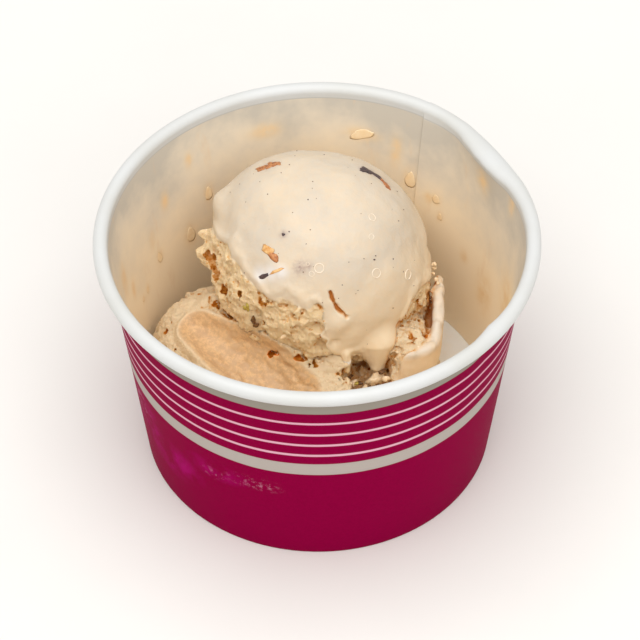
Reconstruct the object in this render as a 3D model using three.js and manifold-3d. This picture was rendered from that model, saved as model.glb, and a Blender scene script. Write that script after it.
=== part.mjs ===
// Gelato cup: a squat paper cup with a rolled rim and two scoops of gelato in it.
// Millimetres, +Z up. The origin is the centre of the circle that the foot stands on,
// and +X is the side where the lower scoop curls up beside the upper one.
import * as THREE from 'three';
import { mergeVertices } from 'three/addons/utils/BufferGeometryUtils.js';
import Module from 'manifold-3d';

const wasm = await Module();
wasm.setup();

// ---- Driving sizes of the cup ----
const CUP_HEIGHT = 60.1;
const RIM_RADIUS = 48.0;
const FOOT_RADIUS = 38.47;
const BEAD_RADIUS = 1.6;
const PAPER = 0.5;
const WALL_SLOPE = 0.1177;
const FLOOR_TOP = 6.3;
const SEGMENTS = 72;

// The foot is the wall folded up inside round the skirt of the floor disc.
const FOLD_HEIGHT = 5.2;
const FOLD_PAPER = 0.35;
const FOLD_GAP = 0.2;
const FOOT_EDGE = 0.5;

// Worked out from those: where the bead sits, and the radius of the wall at any height.
const BEAD_CENTRE = RIM_RADIUS - BEAD_RADIUS;
const BEAD_HEIGHT = CUP_HEIGHT - BEAD_RADIUS;
const outerWall = (z) => FOOT_RADIUS + WALL_SLOPE * z;
const innerWall = (z) => outerWall(z) - PAPER;

// Rim shift outwards, by azimuth in degrees: the mouth is slightly oval and widest at the lap seam.
const OVAL_AZIMUTH = [0, 50, 62, 90, 135, 180, 270, 360];
const OVAL_SHIFT = [-0.15, 0.5, 0.85, 0.6, 0.3, 0.15, 0, -0.15];
const OVAL_FROM_HEIGHT = 20;

// A thumb has pressed the rim in on one side: the shift of its inner and outer edge.
const DENT_AZIMUTH = [4, 12, 20, 25, 30, 36, 42, 46, 52];
const DENT_INNER = [0, -0.3, -1.1, -2.2, -2.7, -2.5, -1.6, -0.6, 0];
const DENT_OUTER = [0, -0.15, -0.4, -0.7, -0.8, -0.7, -0.4, -0.1, 0];
const DENT_REACH = 10;

// The sidewall laps over itself along one line.
const LAP_AZIMUTH = 58.3;
const LAP_WIDTH = 12;
const LAP_STEP = 0.35;

// ---- Driving sizes of the gelato ----
const GAP = 0.35;
const BALL = new THREE.Vector3(0.3, 15.4, 36.5);
const BALL_RADIUS = 24.0;
const BALL_FLAT = 20.0;
const BALL_FLAT_ROUND = 6.0;

// Swellings and pits of the upper scoop: azimuth, elevation (degrees), height (mm), spread (degrees).
const SHOULDER = [165, 28, 2.2, 8];
const LEFT_CHEEK = [146, 42, 1.9, 26];
const RIGHT_CHEEK = [354, -4, 0.8, 16];
const LEFT_CRAGS = [[178, 3, 2.8, 7], [179, 5, 1.3, 2.5], [172, 11, 2.9, 3]];
const DRIP_TONGUE = [[308, -36, 2.4, 8], [318, -29, 1.2, 8], [332, -24, 2.0, 9], [343, -14, 2.4, 11]];
const PALE_LOBE = [280, 9, 1.1, 6];
const SWELLINGS = [SHOULDER, LEFT_CHEEK, RIGHT_CHEEK, ...LEFT_CRAGS, ...DRIP_TONGUE, PALE_LOBE];
const CRACK = [[277, 25, 1.2, 2.4], [281, 17, 1.2, 2.4]];
const FRONT_PITS = [[268, 8, 1.8, 4], [278, -4, 1.1, 2.2], [270.5, -9, 1.6, 3], [286, -34, 1.5, 6]];
const LEFT_PITS = [[205, 2, 1.2, 4], [233, 3, 1.6, 5]];
const PITS = [...CRACK, ...FRONT_PITS, ...LEFT_PITS];

// The melted tongue's rounded tip, which hangs free in front of the lower scoop.
const TONGUE_TIP = { from: [13.0, -2.8, 29.6], to: [13.0, -4.7, 24.1], radius: 4.4, endRadius: 1.8 };
const TONGUE_BLEND = 2.5;

// Lower edge of the smooth melted skin round the upper scoop; below it the gelato is torn and porous.
const SKIN_AZIMUTH = [0, 20, 60, 110, 150, 165, 172, 185, 200, 212, 223, 231, 239, 249, 256, 263, 269,
  271.5, 272.8, 274.5, 278, 283, 289, 293.5, 297, 301, 305, 311, 316, 318.5, 326, 338, 345, 352, 360];
const SKIN_ELEVATION = [-5, -8, -20, -12, 12, 16, 17, 24, 31, 29, 25, 25, 20, 24, 22, 19, 22,
  18, 4, -8, -13, -17, -19, -20, -27, -37, -42, -38, -28, -9, 1, 3, 0, -3, -5];
const SKIN_WAVER = 3;
const SKIN_WAVER_SIZE = 4.0;
const SKIN_STEP = 5;
const SKIN_DEPTH = 0.5;
const BALL_CRAGS = [{ size: 5.2, depth: 0.9, seed: 1 }, { size: 2.3, depth: 0.8, seed: 2 }];
const WAVER_SEED = 5;

// Masses that make up the lower scoop: centre and half sizes.
const CORE = { at: [1, 4, 10], half: [26, 24, 21.5] };
const LEFT_MASS = { at: [-19.5, 5, 13], half: [19.5, 18.5, 17] };
const RIGHT_MASS = { at: [17, 4.5, 12.2], half: [9.4, 12, 18.5] };
const CREST = { at: [-9, -2, 27], half: [9, 6, 5.5] };
const TORN_HEAP = { at: [20.2, -1.4, 22.6], half: [5.6, 7.2, 9.6] };
const SLIT_BACK = { at: [22.8, 11, 21.5], half: [3.2, 5.5, 8.5] };
const CRUMB_HOLLOW = { at: [10.8, -8, 23], half: [5.8, 7, 8] };
const SCRAPE = { from: [-27.5, 2.2, 30.5], to: [-6.5, -17, 28.4], radius: 3.8, endRadius: 8.2 };
const LOWER_CRAGS = [{ size: 6.0, depth: 0.72, seed: 11 }, { size: 2.6, depth: 0.56, seed: 12 }];
const LOWER_SHRINK = 0.4;
const LOWER_HEART = new THREE.Vector3(-4, 1, 10);

// The curl: a thin sheet of gelato that the scraper left standing beside the upper scoop.
// Its radius and its top edge are given by the angle about its centre. It leans in towards its foot.
const CURL = { x: -2.6, y: 8.0, thickness: 2.6, from: -39.5, to: 12.5, foot: 7.2 };
const CURL_LEAN = { by: 3.2, from: 27, over: 16 };
const CURL_ANGLE = [-39, -35, -31, -28, -25, -20, -14, -2, 12];
const CURL_RADIUS = [26.9, 28.3, 29.6, 30.4, 30.6, 30.3, 29.7, 29.2, 30.1];
const CURL_TOP = [31.2, 31.3, 31.4, 31.4, 31.4, 31.6, 32.0, 33.0, 33.6];

// ---- Small helpers ----
const clamp = (t, low, high) => Math.min(Math.max(t, low), high);
const mix = (a, b, t) => a + (b - a) * t;

function smoothStep(t) {
  const u = clamp(t, 0, 1);
  return u * u * (3 - 2 * u);
}

function azimuthOf(x, y) {
  return (THREE.MathUtils.radToDeg(Math.atan2(y, x)) + 360) % 360;
}

function table(keys, values, at) {
  if (at <= keys[0]) return values[0];
  for (let i = 1; i < keys.length; i += 1) {
    if (at <= keys[i]) return mix(values[i - 1], values[i], (at - keys[i - 1]) / (keys[i] - keys[i - 1]));
  }
  return values[values.length - 1];
}

// Smooth union and smooth cut of two distance values, rounded over k millimetres.
function join(a, b, k) {
  const h = clamp(0.5 + 0.5 * (b - a) / k, 0, 1);
  return mix(b, a, h) - k * h * (1 - h);
}

const carve = (a, b, k) => -join(-a, -b, k);

// Value noise between -1 and 1 on a lattice of the given size, the same on every run.
function latticeValue(ix, iy, iz, seed) {
  let h = Math.imul(ix, 374761393) + Math.imul(iy, 668265263);
  h = (h + Math.imul(iz, 2246822519) + Math.imul(seed, 3266489917)) >>> 0;
  h = Math.imul(h ^ (h >>> 13), 1274126177) >>> 0;
  h = (h ^ (h >>> 16)) >>> 0;
  return h * (2 / 4294967295) - 1;
}

function noise(p, size, seed) {
  const cell = [p.x / size, p.y / size, p.z / size];
  const base = cell.map(Math.floor);
  const part = cell.map((c, i) => smoothStep(c - base[i]));
  let sum = 0;
  for (let corner = 0; corner < 8; corner += 1) {
    const step = [corner & 1, (corner >> 1) & 1, (corner >> 2) & 1];
    const weight = step.reduce((w, s, i) => w * (s ? part[i] : 1 - part[i]), 1);
    sum += weight * latticeValue(base[0] + step[0], base[1] + step[1], base[2] + step[2], seed);
  }
  return sum;
}

const crags = (p, layers) => layers.reduce((sum, c) => sum + c.depth * noise(p, c.size, c.seed), 0);

// ---- Distance functions of the gelato ----
function ellipsoid(p, { at, half }) {
  const d = [p.x - at[0], p.y - at[1], p.z - at[2]];
  const near = Math.hypot(d[0] / half[0], d[1] / half[1], d[2] / half[2]) + 1e-6;
  const slope = Math.hypot(d[0] / half[0] ** 2, d[1] / half[1] ** 2, d[2] / half[2] ** 2) + 1e-6;
  return near * (near - 1) / slope;
}

// A rod with round ends; with an end radius it widens or narrows on its way.
function capsule(p, { from, to, radius, endRadius = radius }) {
  const a = new THREE.Vector3(...from);
  const axis = new THREE.Vector3(...to).sub(a);
  const t = clamp(p.clone().sub(a).dot(axis) / axis.lengthSq(), 0, 1);
  return p.distanceTo(a.addScaledVector(axis, t)) - mix(radius, endRadius, t);
}

function direction(azimuth, elevation) {
  const a = THREE.MathUtils.degToRad(azimuth);
  const e = THREE.MathUtils.degToRad(elevation);
  return new THREE.Vector3(Math.cos(e) * Math.cos(a), Math.cos(e) * Math.sin(a), Math.sin(e));
}

function bump(unit, [azimuth, elevation, height, spread]) {
  const away = 2 * (1 - unit.dot(direction(azimuth, elevation)));
  return height * Math.exp(-away / THREE.MathUtils.degToRad(spread) ** 2);
}

// Upper scoop: a ball with a smooth skin on top, a torn skirt below and a melted tongue in front.
function upperScoop(p) {
  const offset = p.clone().sub(BALL);
  const reach = offset.length();
  const unit = offset.clone().divideScalar(reach + 1e-6);
  const elevation = THREE.MathUtils.radToDeg(Math.asin(clamp(unit.z, -1, 1)));
  const waver = SKIN_WAVER * noise(p, SKIN_WAVER_SIZE, WAVER_SEED);
  const edge = table(SKIN_AZIMUTH, SKIN_ELEVATION, azimuthOf(unit.x, unit.y)) + waver;
  const torn = smoothStep((edge - elevation) / SKIN_STEP);
  let radius = BALL_RADIUS;
  for (const swelling of SWELLINGS) radius += bump(unit, swelling);
  for (const pit of PITS) radius -= bump(unit, pit);
  radius -= torn * (SKIN_DEPTH - crags(p, BALL_CRAGS));
  const ball = carve(reach - radius, BALL_FLAT - p.z, BALL_FLAT_ROUND);
  return join(ball, capsule(p, TONGUE_TIP), TONGUE_BLEND);
}

// Lower scoop: rounded masses with a scraped channel, kept off the paper by a small gap.
function lowerScoop(p) {
  let d = ellipsoid(p, CORE);
  d = join(d, ellipsoid(p, LEFT_MASS), 4);
  d = join(d, ellipsoid(p, RIGHT_MASS), 3);
  d = join(d, ellipsoid(p, CREST), 3);
  d = join(d, ellipsoid(p, TORN_HEAP), 2);
  d = join(d, ellipsoid(p, SLIT_BACK), 2);
  d += LOWER_SHRINK - crags(p, LOWER_CRAGS);
  d = carve(d, -capsule(p, SCRAPE), 0.8);
  d = carve(d, -ellipsoid(p, CRUMB_HOLLOW), 1.0);
  const offWall = Math.hypot(p.x, p.y) - innerWall(p.z) + GAP;
  return Math.max(d, offWall, FLOOR_TOP + GAP - p.z);
}

// ---- Geometry helpers ----
// A closed index of triangles over merged points, with the collapsed ones left out.
function closedGeometry(geometry) {
  geometry.deleteAttribute('normal');
  geometry.deleteAttribute('uv');
  const merged = mergeVertices(geometry, 1e-4);
  const source = merged.index.array;
  const kept = [];
  for (let i = 0; i < source.length; i += 3) {
    const [a, b, c] = [source[i], source[i + 1], source[i + 2]];
    if (a !== b && b !== c && c !== a) kept.push(a, b, c);
  }
  merged.setIndex(kept);
  return merged;
}

function moveVertices(geometry, place) {
  const position = geometry.attributes.position;
  const p = new THREE.Vector3();
  for (let i = 0; i < position.count; i += 1) {
    p.fromBufferAttribute(position, i);
    const q = place(p);
    position.setXYZ(i, q.x, q.y, q.z);
  }
  return geometry;
}

function revolve(profile) {
  const points = profile.map(([r, z]) => new THREE.Vector2(r, z));
  return closedGeometry(new THREE.LatheGeometry(points, SEGMENTS).rotateX(Math.PI / 2));
}

// A ball of rays from a heart point, each ray ended where the distance function reaches the level.
function shrinkWrap(detail, heart, towards, crowding, distance, level) {
  const rays = closedGeometry(new THREE.IcosahedronGeometry(1, detail));
  const farthest = 50;
  return moveVertices(rays, (p) => {
    const ray = p.clone().addScaledVector(towards, crowding).normalize();
    const at = (t) => heart.clone().addScaledVector(ray, t);
    let outside = farthest;
    while (outside > 1 && distance(at(outside - 0.5)) > level) outside -= 0.5;
    let inside = outside - 0.5;
    for (let i = 0; i < 20; i += 1) {
      const middle = (inside + outside) / 2;
      if (distance(at(middle)) > level) outside = middle;
      else inside = middle;
    }
    return at(inside);
  });
}

function toSolid(geometry) {
  return new wasm.Manifold(new wasm.Mesh({
    numProp: 3,
    vertProperties: new Float32Array(geometry.attributes.position.array),
    triVerts: new Uint32Array(geometry.index.array),
  }));
}

// Joining and cutting leave slivers along the seams. Corners closer than this become one,
// and a pair of triangles that then lie back to back cancel out.
const SHORTEST_EDGE = 0.08;

function weldSlivers(position, triangles) {
  const root = Array.from({ length: position.length / 3 }, (_, i) => i);
  const find = (i) => {
    let r = i;
    while (root[r] !== r) r = root[r];
    return r;
  };
  const point = (i) => new THREE.Vector3().fromArray(position, 3 * i);
  for (let i = 0; i < triangles.length; i += 1) {
    const next = i % 3 === 2 ? i - 2 : i + 1;
    const [a, b] = [find(triangles[i]), find(triangles[next])];
    if (a !== b && point(a).distanceTo(point(b)) < SHORTEST_EDGE) root[Math.max(a, b)] = Math.min(a, b);
  }
  const faces = new Map();
  for (let i = 0; i < triangles.length; i += 3) {
    const face = [find(triangles[i]), find(triangles[i + 1]), find(triangles[i + 2])];
    if (new Set(face).size < 3) continue;
    const key = [...face].sort((p, q) => p - q).join();
    if (faces.has(key)) faces.delete(key);
    else faces.set(key, face);
  }
  return [...faces.values()].flat();
}

function fromSolid(solid) {
  const mesh = solid.getMesh();
  const geometry = new THREE.BufferGeometry();
  geometry.setAttribute('position', new THREE.BufferAttribute(mesh.vertProperties, 3));
  geometry.setIndex(weldSlivers(mesh.vertProperties, mesh.triVerts));
  return closedGeometry(geometry);
}

// ---- The paper cup ----
// The dent and the oval mouth move every point of the wall outwards or inwards.
function shapeWall(p) {
  const azimuth = azimuthOf(p.x, p.y);
  const radius = Math.hypot(p.x, p.y);
  const rise = clamp((p.z - OVAL_FROM_HEIGHT) / (CUP_HEIGHT - OVAL_FROM_HEIGHT), 0, 1);
  const oval = table(OVAL_AZIMUTH, OVAL_SHIFT, azimuth) * rise * rise;
  const across = clamp((radius - innerWall(BEAD_HEIGHT)) / (2 * BEAD_RADIUS), 0, 1);
  const inner = table(DENT_AZIMUTH, DENT_INNER, azimuth);
  const outer = table(DENT_AZIMUTH, DENT_OUTER, azimuth);
  const fade = Math.exp(-Math.max(BEAD_HEIGHT - p.z, 0) / DENT_REACH);
  const dent = mix(inner, outer, across) * fade;
  const isInnerFace = radius < innerWall(p.z) + 0.1 && p.z > FLOOR_TOP;
  const lapAngle = LAP_AZIMUTH - azimuth;
  const onLap = isInnerFace && lapAngle > 0 && lapAngle < LAP_WIDTH;
  const lap = onLap ? -LAP_STEP * (1 - lapAngle / LAP_WIDTH) : 0;
  const scale = (radius + oval + dent + lap) / radius;
  return new THREE.Vector3(p.x * scale, p.y * scale, p.z);
}

function cupWallGeometry() {
  const foldOuter = (z) => innerWall(z) - FOLD_PAPER - 2 * FOLD_GAP;
  const foldInner = (z) => foldOuter(z) - FOLD_PAPER;
  const outside = [0.4, 30, 46, 54].map((z) => [outerWall(z), z]);
  const inside = [54, 46, 30, FLOOR_TOP + 1].map((z) => [innerWall(z), z]);
  const bead = [];
  const beadSteps = 9;
  const beadStart = THREE.MathUtils.degToRad(-125);
  const beadEnd = THREE.MathUtils.degToRad(180);
  for (let i = 0; i <= beadSteps; i += 1) {
    const a = mix(beadStart, beadEnd, i / beadSteps);
    bead.push([BEAD_CENTRE + BEAD_RADIUS * Math.cos(a), BEAD_HEIGHT + BEAD_RADIUS * Math.sin(a)]);
  }
  const channel = [
    [innerWall(FOOT_EDGE), FOOT_EDGE],
    [foldOuter(FOOT_EDGE), FOOT_EDGE],
    [foldOuter(FOLD_HEIGHT), FOLD_HEIGHT],
    [foldInner(FOLD_HEIGHT), FOLD_HEIGHT],
    [foldInner(0.3), 0.3],
    [foldInner(0) + 0.3, 0],
  ];
  const foot = [FOOT_RADIUS - 0.3, 0];
  const profile = [foot, ...outside, ...bead, ...inside, ...channel, foot];
  return moveVertices(revolve(profile), shapeWall);
}

function cupFloorGeometry() {
  const skirtOuter = (z) => innerWall(z) - FOLD_GAP;
  const skirtInner = (z) => skirtOuter(z) - FOLD_PAPER;
  const skirtFoot = FOOT_EDGE + FOLD_GAP;
  const underside = FLOOR_TOP - PAPER;
  return revolve([
    [0, underside],
    [skirtInner(underside), underside],
    [skirtInner(skirtFoot), skirtFoot],
    [skirtOuter(skirtFoot), skirtFoot],
    [skirtOuter(FLOOR_TOP - 0.3), FLOOR_TOP - 0.3],
    [skirtOuter(FLOOR_TOP) - 0.3, FLOOR_TOP],
    [0, FLOOR_TOP],
  ]);
}

// ---- The gelato ----
// Rays crowd towards the torn front, so the crags there are modelled more finely.
const BALL_FRONT = new THREE.Vector3(-0.35, -0.85, -0.2);
const LOWER_FRONT = new THREE.Vector3(-0.25, -0.55, 0.75);
const FRONT_CROWDING = 0.3;
const BALL_DETAIL = 13;
const LOWER_DETAIL = 12;

function upperScoopGeometry(level) {
  return shrinkWrap(BALL_DETAIL, BALL, BALL_FRONT, FRONT_CROWDING, upperScoop, level);
}

// A box bent round a vertical axis, thinning to a rounded, slightly ragged top edge.
function curlGeometry() {
  const sheet = closedGeometry(new THREE.BoxGeometry(1, 1, 1, 16, 1, 8));
  return moveVertices(sheet, (p) => {
    const along = 0.5 - p.x;
    const up = p.z + 0.5;
    const degrees = mix(CURL.from, CURL.to, along);
    const ragged = 0.5 * noise(new THREE.Vector3(degrees / 4, 0, 0), 1, 21);
    const roundEnd = 2.5 * Math.max(0, (along - 0.85) / 0.15) ** 2;
    const z = mix(CURL.foot, table(CURL_ANGLE, CURL_TOP, degrees) + ragged - roundEnd, up);
    const lean = CURL_LEAN.by * smoothStep((CURL_LEAN.from - z) / CURL_LEAN.over);
    const thickness = CURL.thickness * (1 - 0.35 * up ** 4);
    const radius = table(CURL_ANGLE, CURL_RADIUS, degrees) - lean + p.y * thickness;
    const a = THREE.MathUtils.degToRad(degrees);
    return new THREE.Vector3(CURL.x + radius * Math.cos(a), CURL.y + radius * Math.sin(a), z);
  });
}

function lowerScoopGeometry() {
  const mass = shrinkWrap(LOWER_DETAIL, LOWER_HEART, LOWER_FRONT, FRONT_CROWDING, lowerScoop, 0);
  const curl = toSolid(curlGeometry());
  const seat = toSolid(upperScoopGeometry(GAP));
  return fromSolid(toSolid(mass).add(curl).subtract(seat));
}

// ---- Materials and the scene graph ----
const paint = (color, roughness) => new THREE.MeshStandardMaterial({ color, roughness, metalness: 0 });
const printedPaper = paint(0x8a0034, 0.45);
const plainPaper = paint(0xe6d6c4, 0.5);
const meltedGelato = paint(0xf0dcc0, 0.35);
const scrapedGelato = paint(0xe4bf8e, 0.5);

function named(name, geometry, material) {
  const mesh = new THREE.Mesh(geometry, material);
  mesh.name = name;
  return mesh;
}

const gelatoCup = new THREE.Group();
gelatoCup.add(named('cup_wall', cupWallGeometry(), printedPaper));
gelatoCup.add(named('cup_floor', cupFloorGeometry(), plainPaper));
gelatoCup.add(named('scoop_lower', lowerScoopGeometry(), scrapedGelato));
gelatoCup.add(named('scoop_top', upperScoopGeometry(0), meltedGelato));

export default gelatoCup;
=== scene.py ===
# %% [markdown]
# # A paper cup with two scoops of gelato
# A squat paper cup with a rolled rim holds two scoops of melting gelato. The CAD model gives
# the sizes: the cup's wall, its floor, the lower scoop and the upper one. Here each of those
# four is made again with the detail that a close look shows, in the same place and at the
# same size. Then come the small things: flakes, specks, bubbles, dried drops and crumbs.

# %% Load the CAD frame
import math

import bpy
import numpy as np
from mathutils import Matrix, Vector


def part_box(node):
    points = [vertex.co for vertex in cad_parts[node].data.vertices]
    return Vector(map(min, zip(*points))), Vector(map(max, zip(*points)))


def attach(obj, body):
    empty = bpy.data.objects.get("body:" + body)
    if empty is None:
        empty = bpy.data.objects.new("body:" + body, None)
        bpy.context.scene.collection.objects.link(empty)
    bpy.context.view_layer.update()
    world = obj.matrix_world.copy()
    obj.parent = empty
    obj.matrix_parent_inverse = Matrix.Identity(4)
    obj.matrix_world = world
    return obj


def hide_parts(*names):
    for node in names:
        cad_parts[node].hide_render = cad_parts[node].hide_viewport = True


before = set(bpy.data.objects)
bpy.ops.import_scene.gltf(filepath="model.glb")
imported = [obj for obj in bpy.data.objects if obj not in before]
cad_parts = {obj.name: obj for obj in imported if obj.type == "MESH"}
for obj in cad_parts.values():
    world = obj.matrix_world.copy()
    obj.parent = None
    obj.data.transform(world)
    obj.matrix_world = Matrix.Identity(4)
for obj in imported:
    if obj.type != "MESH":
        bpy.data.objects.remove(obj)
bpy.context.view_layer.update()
MM = 0.001
print("CAD nodes:", sorted(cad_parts))

# %% [markdown]
# ## The camera
# The camera stands far off and looks steeply down into the cup. A long lens shows the near and
# the far side of the rim at nearly the same scale, where a short one would swell the near side.
# Its axes are worked out from three plain angles, so that each can be changed on its own.

# %% Camera
CAMERA_PLACE = (-3.013, -542.871, 605.886)
CAMERA_DOWN, CAMERA_TURN, CAMERA_ROLL = 46.53, 0.366, -0.146
LENS_MM, SENSOR_MM = 202.5, 36.0


def camera_axes(down, turn, roll):
    down, turn, roll = map(math.radians, (down, turn, roll))
    forward = Vector((math.sin(turn) * math.cos(down), math.cos(turn) * math.cos(down), -math.sin(down)))
    right = forward.cross(Vector((0, 0, 1))).normalized()
    up = right.cross(forward)
    level_right, level_up = right, up
    right = level_right * math.cos(roll) + level_up * math.sin(roll)
    up = level_up * math.cos(roll) - level_right * math.sin(roll)
    return Matrix((right, up, -forward)).transposed()


long_lens = bpy.data.cameras.new("camera")
long_lens.lens, long_lens.sensor_width = LENS_MM, SENSOR_MM
long_lens.clip_start, long_lens.clip_end = 0.05, 20
camera = bpy.data.objects.new("camera", long_lens)
bpy.context.scene.collection.objects.link(camera)
axes = camera_axes(CAMERA_DOWN, CAMERA_TURN, CAMERA_ROLL)
camera.matrix_world = Matrix.Translation(Vector(CAMERA_PLACE) * MM) @ axes.to_4x4()
bpy.context.scene.camera = camera
print("camera looks down by", CAMERA_DOWN, "degrees")

# %% [markdown]
# ## The table and the light
# A pale table top and a very large soft lamp overhead give the even light of a small studio.
# A weaker lamp in front opens the shadows inside the cup. The world adds a little light from
# everywhere, so that no side goes black. The view transform is Standard, because the default
# one would wash out the deep magenta of the print.

# %% Table top and lamps
STAGE_HALF = 3.0
TOP_LAMP = {"place": (-0.12, -0.14, 1.15), "size": 1.3, "power": 7.8}
FRONT_LAMP = {"place": (0.15, -0.8, 0.95), "size": 1.5, "power": 6.0}
LAMP_AIM = (0, 0, 0.03)
WORLD_COLOR, WORLD_STRENGTH = (1, 0.985, 0.96, 1), 0.73


def soft_lamp(name, place, size, power):
    light = bpy.data.lights.new(name, "AREA")
    light.shape, light.size, light.energy = "DISK", size, power
    lamp = bpy.data.objects.new(name, light)
    lamp.location = place
    lamp.rotation_euler = (Vector(LAMP_AIM) - Vector(place)).to_track_quat("-Z", "Y").to_euler()
    bpy.context.scene.collection.objects.link(lamp)


soft_lamp("top_lamp", **TOP_LAMP)
soft_lamp("front_lamp", **FRONT_LAMP)
world = bpy.data.worlds.new("studio")
bpy.context.scene.world = world
world.use_nodes = True
world.node_tree.nodes["Background"].inputs["Color"].default_value = WORLD_COLOR
world.node_tree.nodes["Background"].inputs["Strength"].default_value = WORLD_STRENGTH

corners = [(x * STAGE_HALF, y * STAGE_HALF, 0) for x, y in ((-1, -1), (1, -1), (1, 1), (-1, 1))]
table_mesh = bpy.data.meshes.new("table_top")
table_mesh.from_pydata(corners, [], [(0, 1, 2, 3)])
table_top = bpy.data.objects.new("table_top", table_mesh)
bpy.context.scene.collection.objects.link(table_top)
bpy.context.scene.view_settings.view_transform = "Standard"

# %% [markdown]
# ## How materials are mixed here
# Each finish is a small recipe of shader nodes: patterns in Object coordinates, which are
# metres on the real object, and numbers that the meshes carry at their points. A few short
# helpers keep the recipes readable. A colour is given as it looks on a screen, from 0 to 255.

# %% Helpers for shader recipes
def screen(r, g, b):
    """A screen colour as the linear light that a shader works with."""
    light = [c / 255 / 12.92 if c <= 10 else ((c / 255 + 0.055) / 1.055) ** 2.4 for c in (r, g, b)]
    return (*light, 1)


class Recipe:
    """A material and the few nodes that the finishes of this cup need."""

    def __init__(self, name):
        self.material = bpy.data.materials.new(name)
        self.material.use_nodes = True
        self.nodes, self.links = self.material.node_tree.nodes, self.material.node_tree.links
        self.shader = self.nodes["Principled BSDF"]
        self.place = self.nodes.new("ShaderNodeTexCoord").outputs["Object"]

    def put(self, socket, value):
        if isinstance(value, bpy.types.NodeSocket):
            self.links.new(value, socket)
        else:
            socket.default_value = value

    def set(self, **values):
        for name, value in values.items():
            self.put(self.shader.inputs[name.replace("_", " ")], value)

    def attribute(self, name):
        node = self.nodes.new("ShaderNodeAttribute")
        node.attribute_name = name
        return node.outputs["Fac"]

    def height(self):
        """How high each point is, in metres."""
        split = self.nodes.new("ShaderNodeSeparateXYZ")
        self.links.new(self.place, split.inputs[0])
        return split.outputs["Z"]

    def noise(self, size_mm, detail=3, roughness=0.5, place=None):
        node = self.nodes.new("ShaderNodeTexNoise")
        self.links.new(place or self.place, node.inputs["Vector"])
        for name, value in (("Scale", 1 / (size_mm * MM)), ("Detail", detail), ("Roughness", roughness)):
            node.inputs[name].default_value = value
        return node.outputs["Fac"]

    def pores(self, size_mm):
        node = self.nodes.new("ShaderNodeTexVoronoi")
        self.links.new(self.place, node.inputs["Vector"])
        node.inputs["Scale"].default_value = 1 / (size_mm * MM)
        return node.outputs["Distance"]

    def math(self, operation, a, b=0.0, clamp=False):
        node = self.nodes.new("ShaderNodeMath")
        node.operation, node.use_clamp = operation, clamp
        self.put(node.inputs[0], a)
        self.put(node.inputs[1], b)
        return node.outputs[0]

    def span(self, value, low, high, to_low=0.0, to_high=1.0):
        node = self.nodes.new("ShaderNodeMapRange")
        for socket, v in zip(node.inputs, (value, low, high, to_low, to_high)):
            self.put(socket, v)
        return node.outputs[0]

    def mix(self, factor, a, b):
        node = self.nodes.new("ShaderNodeMix")
        node.data_type = "RGBA"
        self.put(node.inputs[0], factor)
        self.put(node.inputs[6], a)
        self.put(node.inputs[7], b)
        return node.outputs[2]

    def ramp(self, factor, stops):
        node = self.nodes.new("ShaderNodeValToRGB")
        self.links.new(factor, node.inputs[0])
        marks = node.color_ramp.elements
        while len(marks) < len(stops):
            marks.new(0.5)
        for mark, (position, color) in zip(marks, stops):
            mark.position, mark.color = position, color
        return node.outputs[0]

    def near(self, centre_mm, radius_mm, flat=(1, 1, 1)):
        """1 at a point and 0 from a radius on; flat makes the ball narrower along an axis."""
        node = self.nodes.new("ShaderNodeMapping")
        self.links.new(self.place, node.inputs["Vector"])
        scale = [1 / (radius_mm * MM * f) for f in flat]
        node.inputs["Scale"].default_value = scale
        node.inputs["Location"].default_value = [-c * MM * s for c, s in zip(centre_mm, scale)]
        length = self.nodes.new("ShaderNodeVectorMath")
        length.operation = "LENGTH"
        self.links.new(node.outputs[0], length.inputs[0])
        return self.span(length.outputs["Value"], 1, 0)

    def bump(self, height, depth_mm, under=None):
        node = self.nodes.new("ShaderNodeBump")
        node.inputs["Distance"].default_value = depth_mm * MM
        self.links.new(height, node.inputs["Height"])
        if under is not None:
            self.links.new(under, node.inputs["Normal"])
        return node.outputs[0]


table_finish = Recipe("pale_table")
cloud = table_finish.noise(60, 4)
table_color = table_finish.mix(cloud, screen(226, 224, 220), screen(234, 232, 228))
table_finish.set(Base_Color=table_color, Roughness=0.7)
table_top.data.materials.append(table_finish.material)
print("first finish:", table_finish.material.name)

# %% [markdown]
# ## The cup's wall
# The wall is one sheet of paper, wrapped into a cone and lapped over itself along one line.
# Its top is rolled outwards into a bead and its foot is folded up inside. A thumb has pressed
# the bead in on one side. A round profile turned about the axis gives the cone, and then each
# point moves in or out by tables over the azimuth: the mouth's slight oval, the thumb's dent
# and the step at the lap. This is the same rule as in the CAD model, with finer steps and with
# a small nick at the front besides. Melt has splashed on the inside: each of its points
# carries how stained it is, for the finish.

# %% Sizes of the cup
CUP_HEIGHT, FOOT_RADIUS, RIM_RADIUS, BEAD_RADIUS = 60.1, 38.47, 48.0, 1.6
PAPER, WALL_SLOPE, FLOOR_TOP = 0.5, 0.1177, 6.3
FOLD_HEIGHT, FOLD_PAPER, FOLD_GAP, FOOT_EDGE, FOOT_ROUND = 5.2, 0.35, 0.2, 0.5, 0.3
BEAD_CENTRE, BEAD_HEIGHT = RIM_RADIUS - BEAD_RADIUS, CUP_HEIGHT - BEAD_RADIUS
OVAL_AZIMUTH = [0, 50, 62, 90, 135, 180, 270, 360]
OVAL_SHIFT = [-0.15, 0.5, 0.85, 0.6, 0.3, 0.15, 0, -0.15]
OVAL_FROM_HEIGHT = 20
DENT_AZIMUTH = [4, 12, 20, 25, 30, 36, 42, 46, 52]
DENT_INNER = [0, -0.3, -1.1, -2.2, -2.7, -2.5, -1.6, -0.6, 0]
DENT_OUTER = [0, -0.15, -0.4, -0.7, -0.8, -0.7, -0.4, -0.1, 0]
DENT_REACH = 10
NICK_AZIMUTH = [316, 320, 323, 327, 332]
NICK_INNER = [0, -0.35, -0.6, -0.25, 0]
LAP_AZIMUTH, LAP_WIDTH, LAP_STEP = 58.3, 12, 0.35
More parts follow.
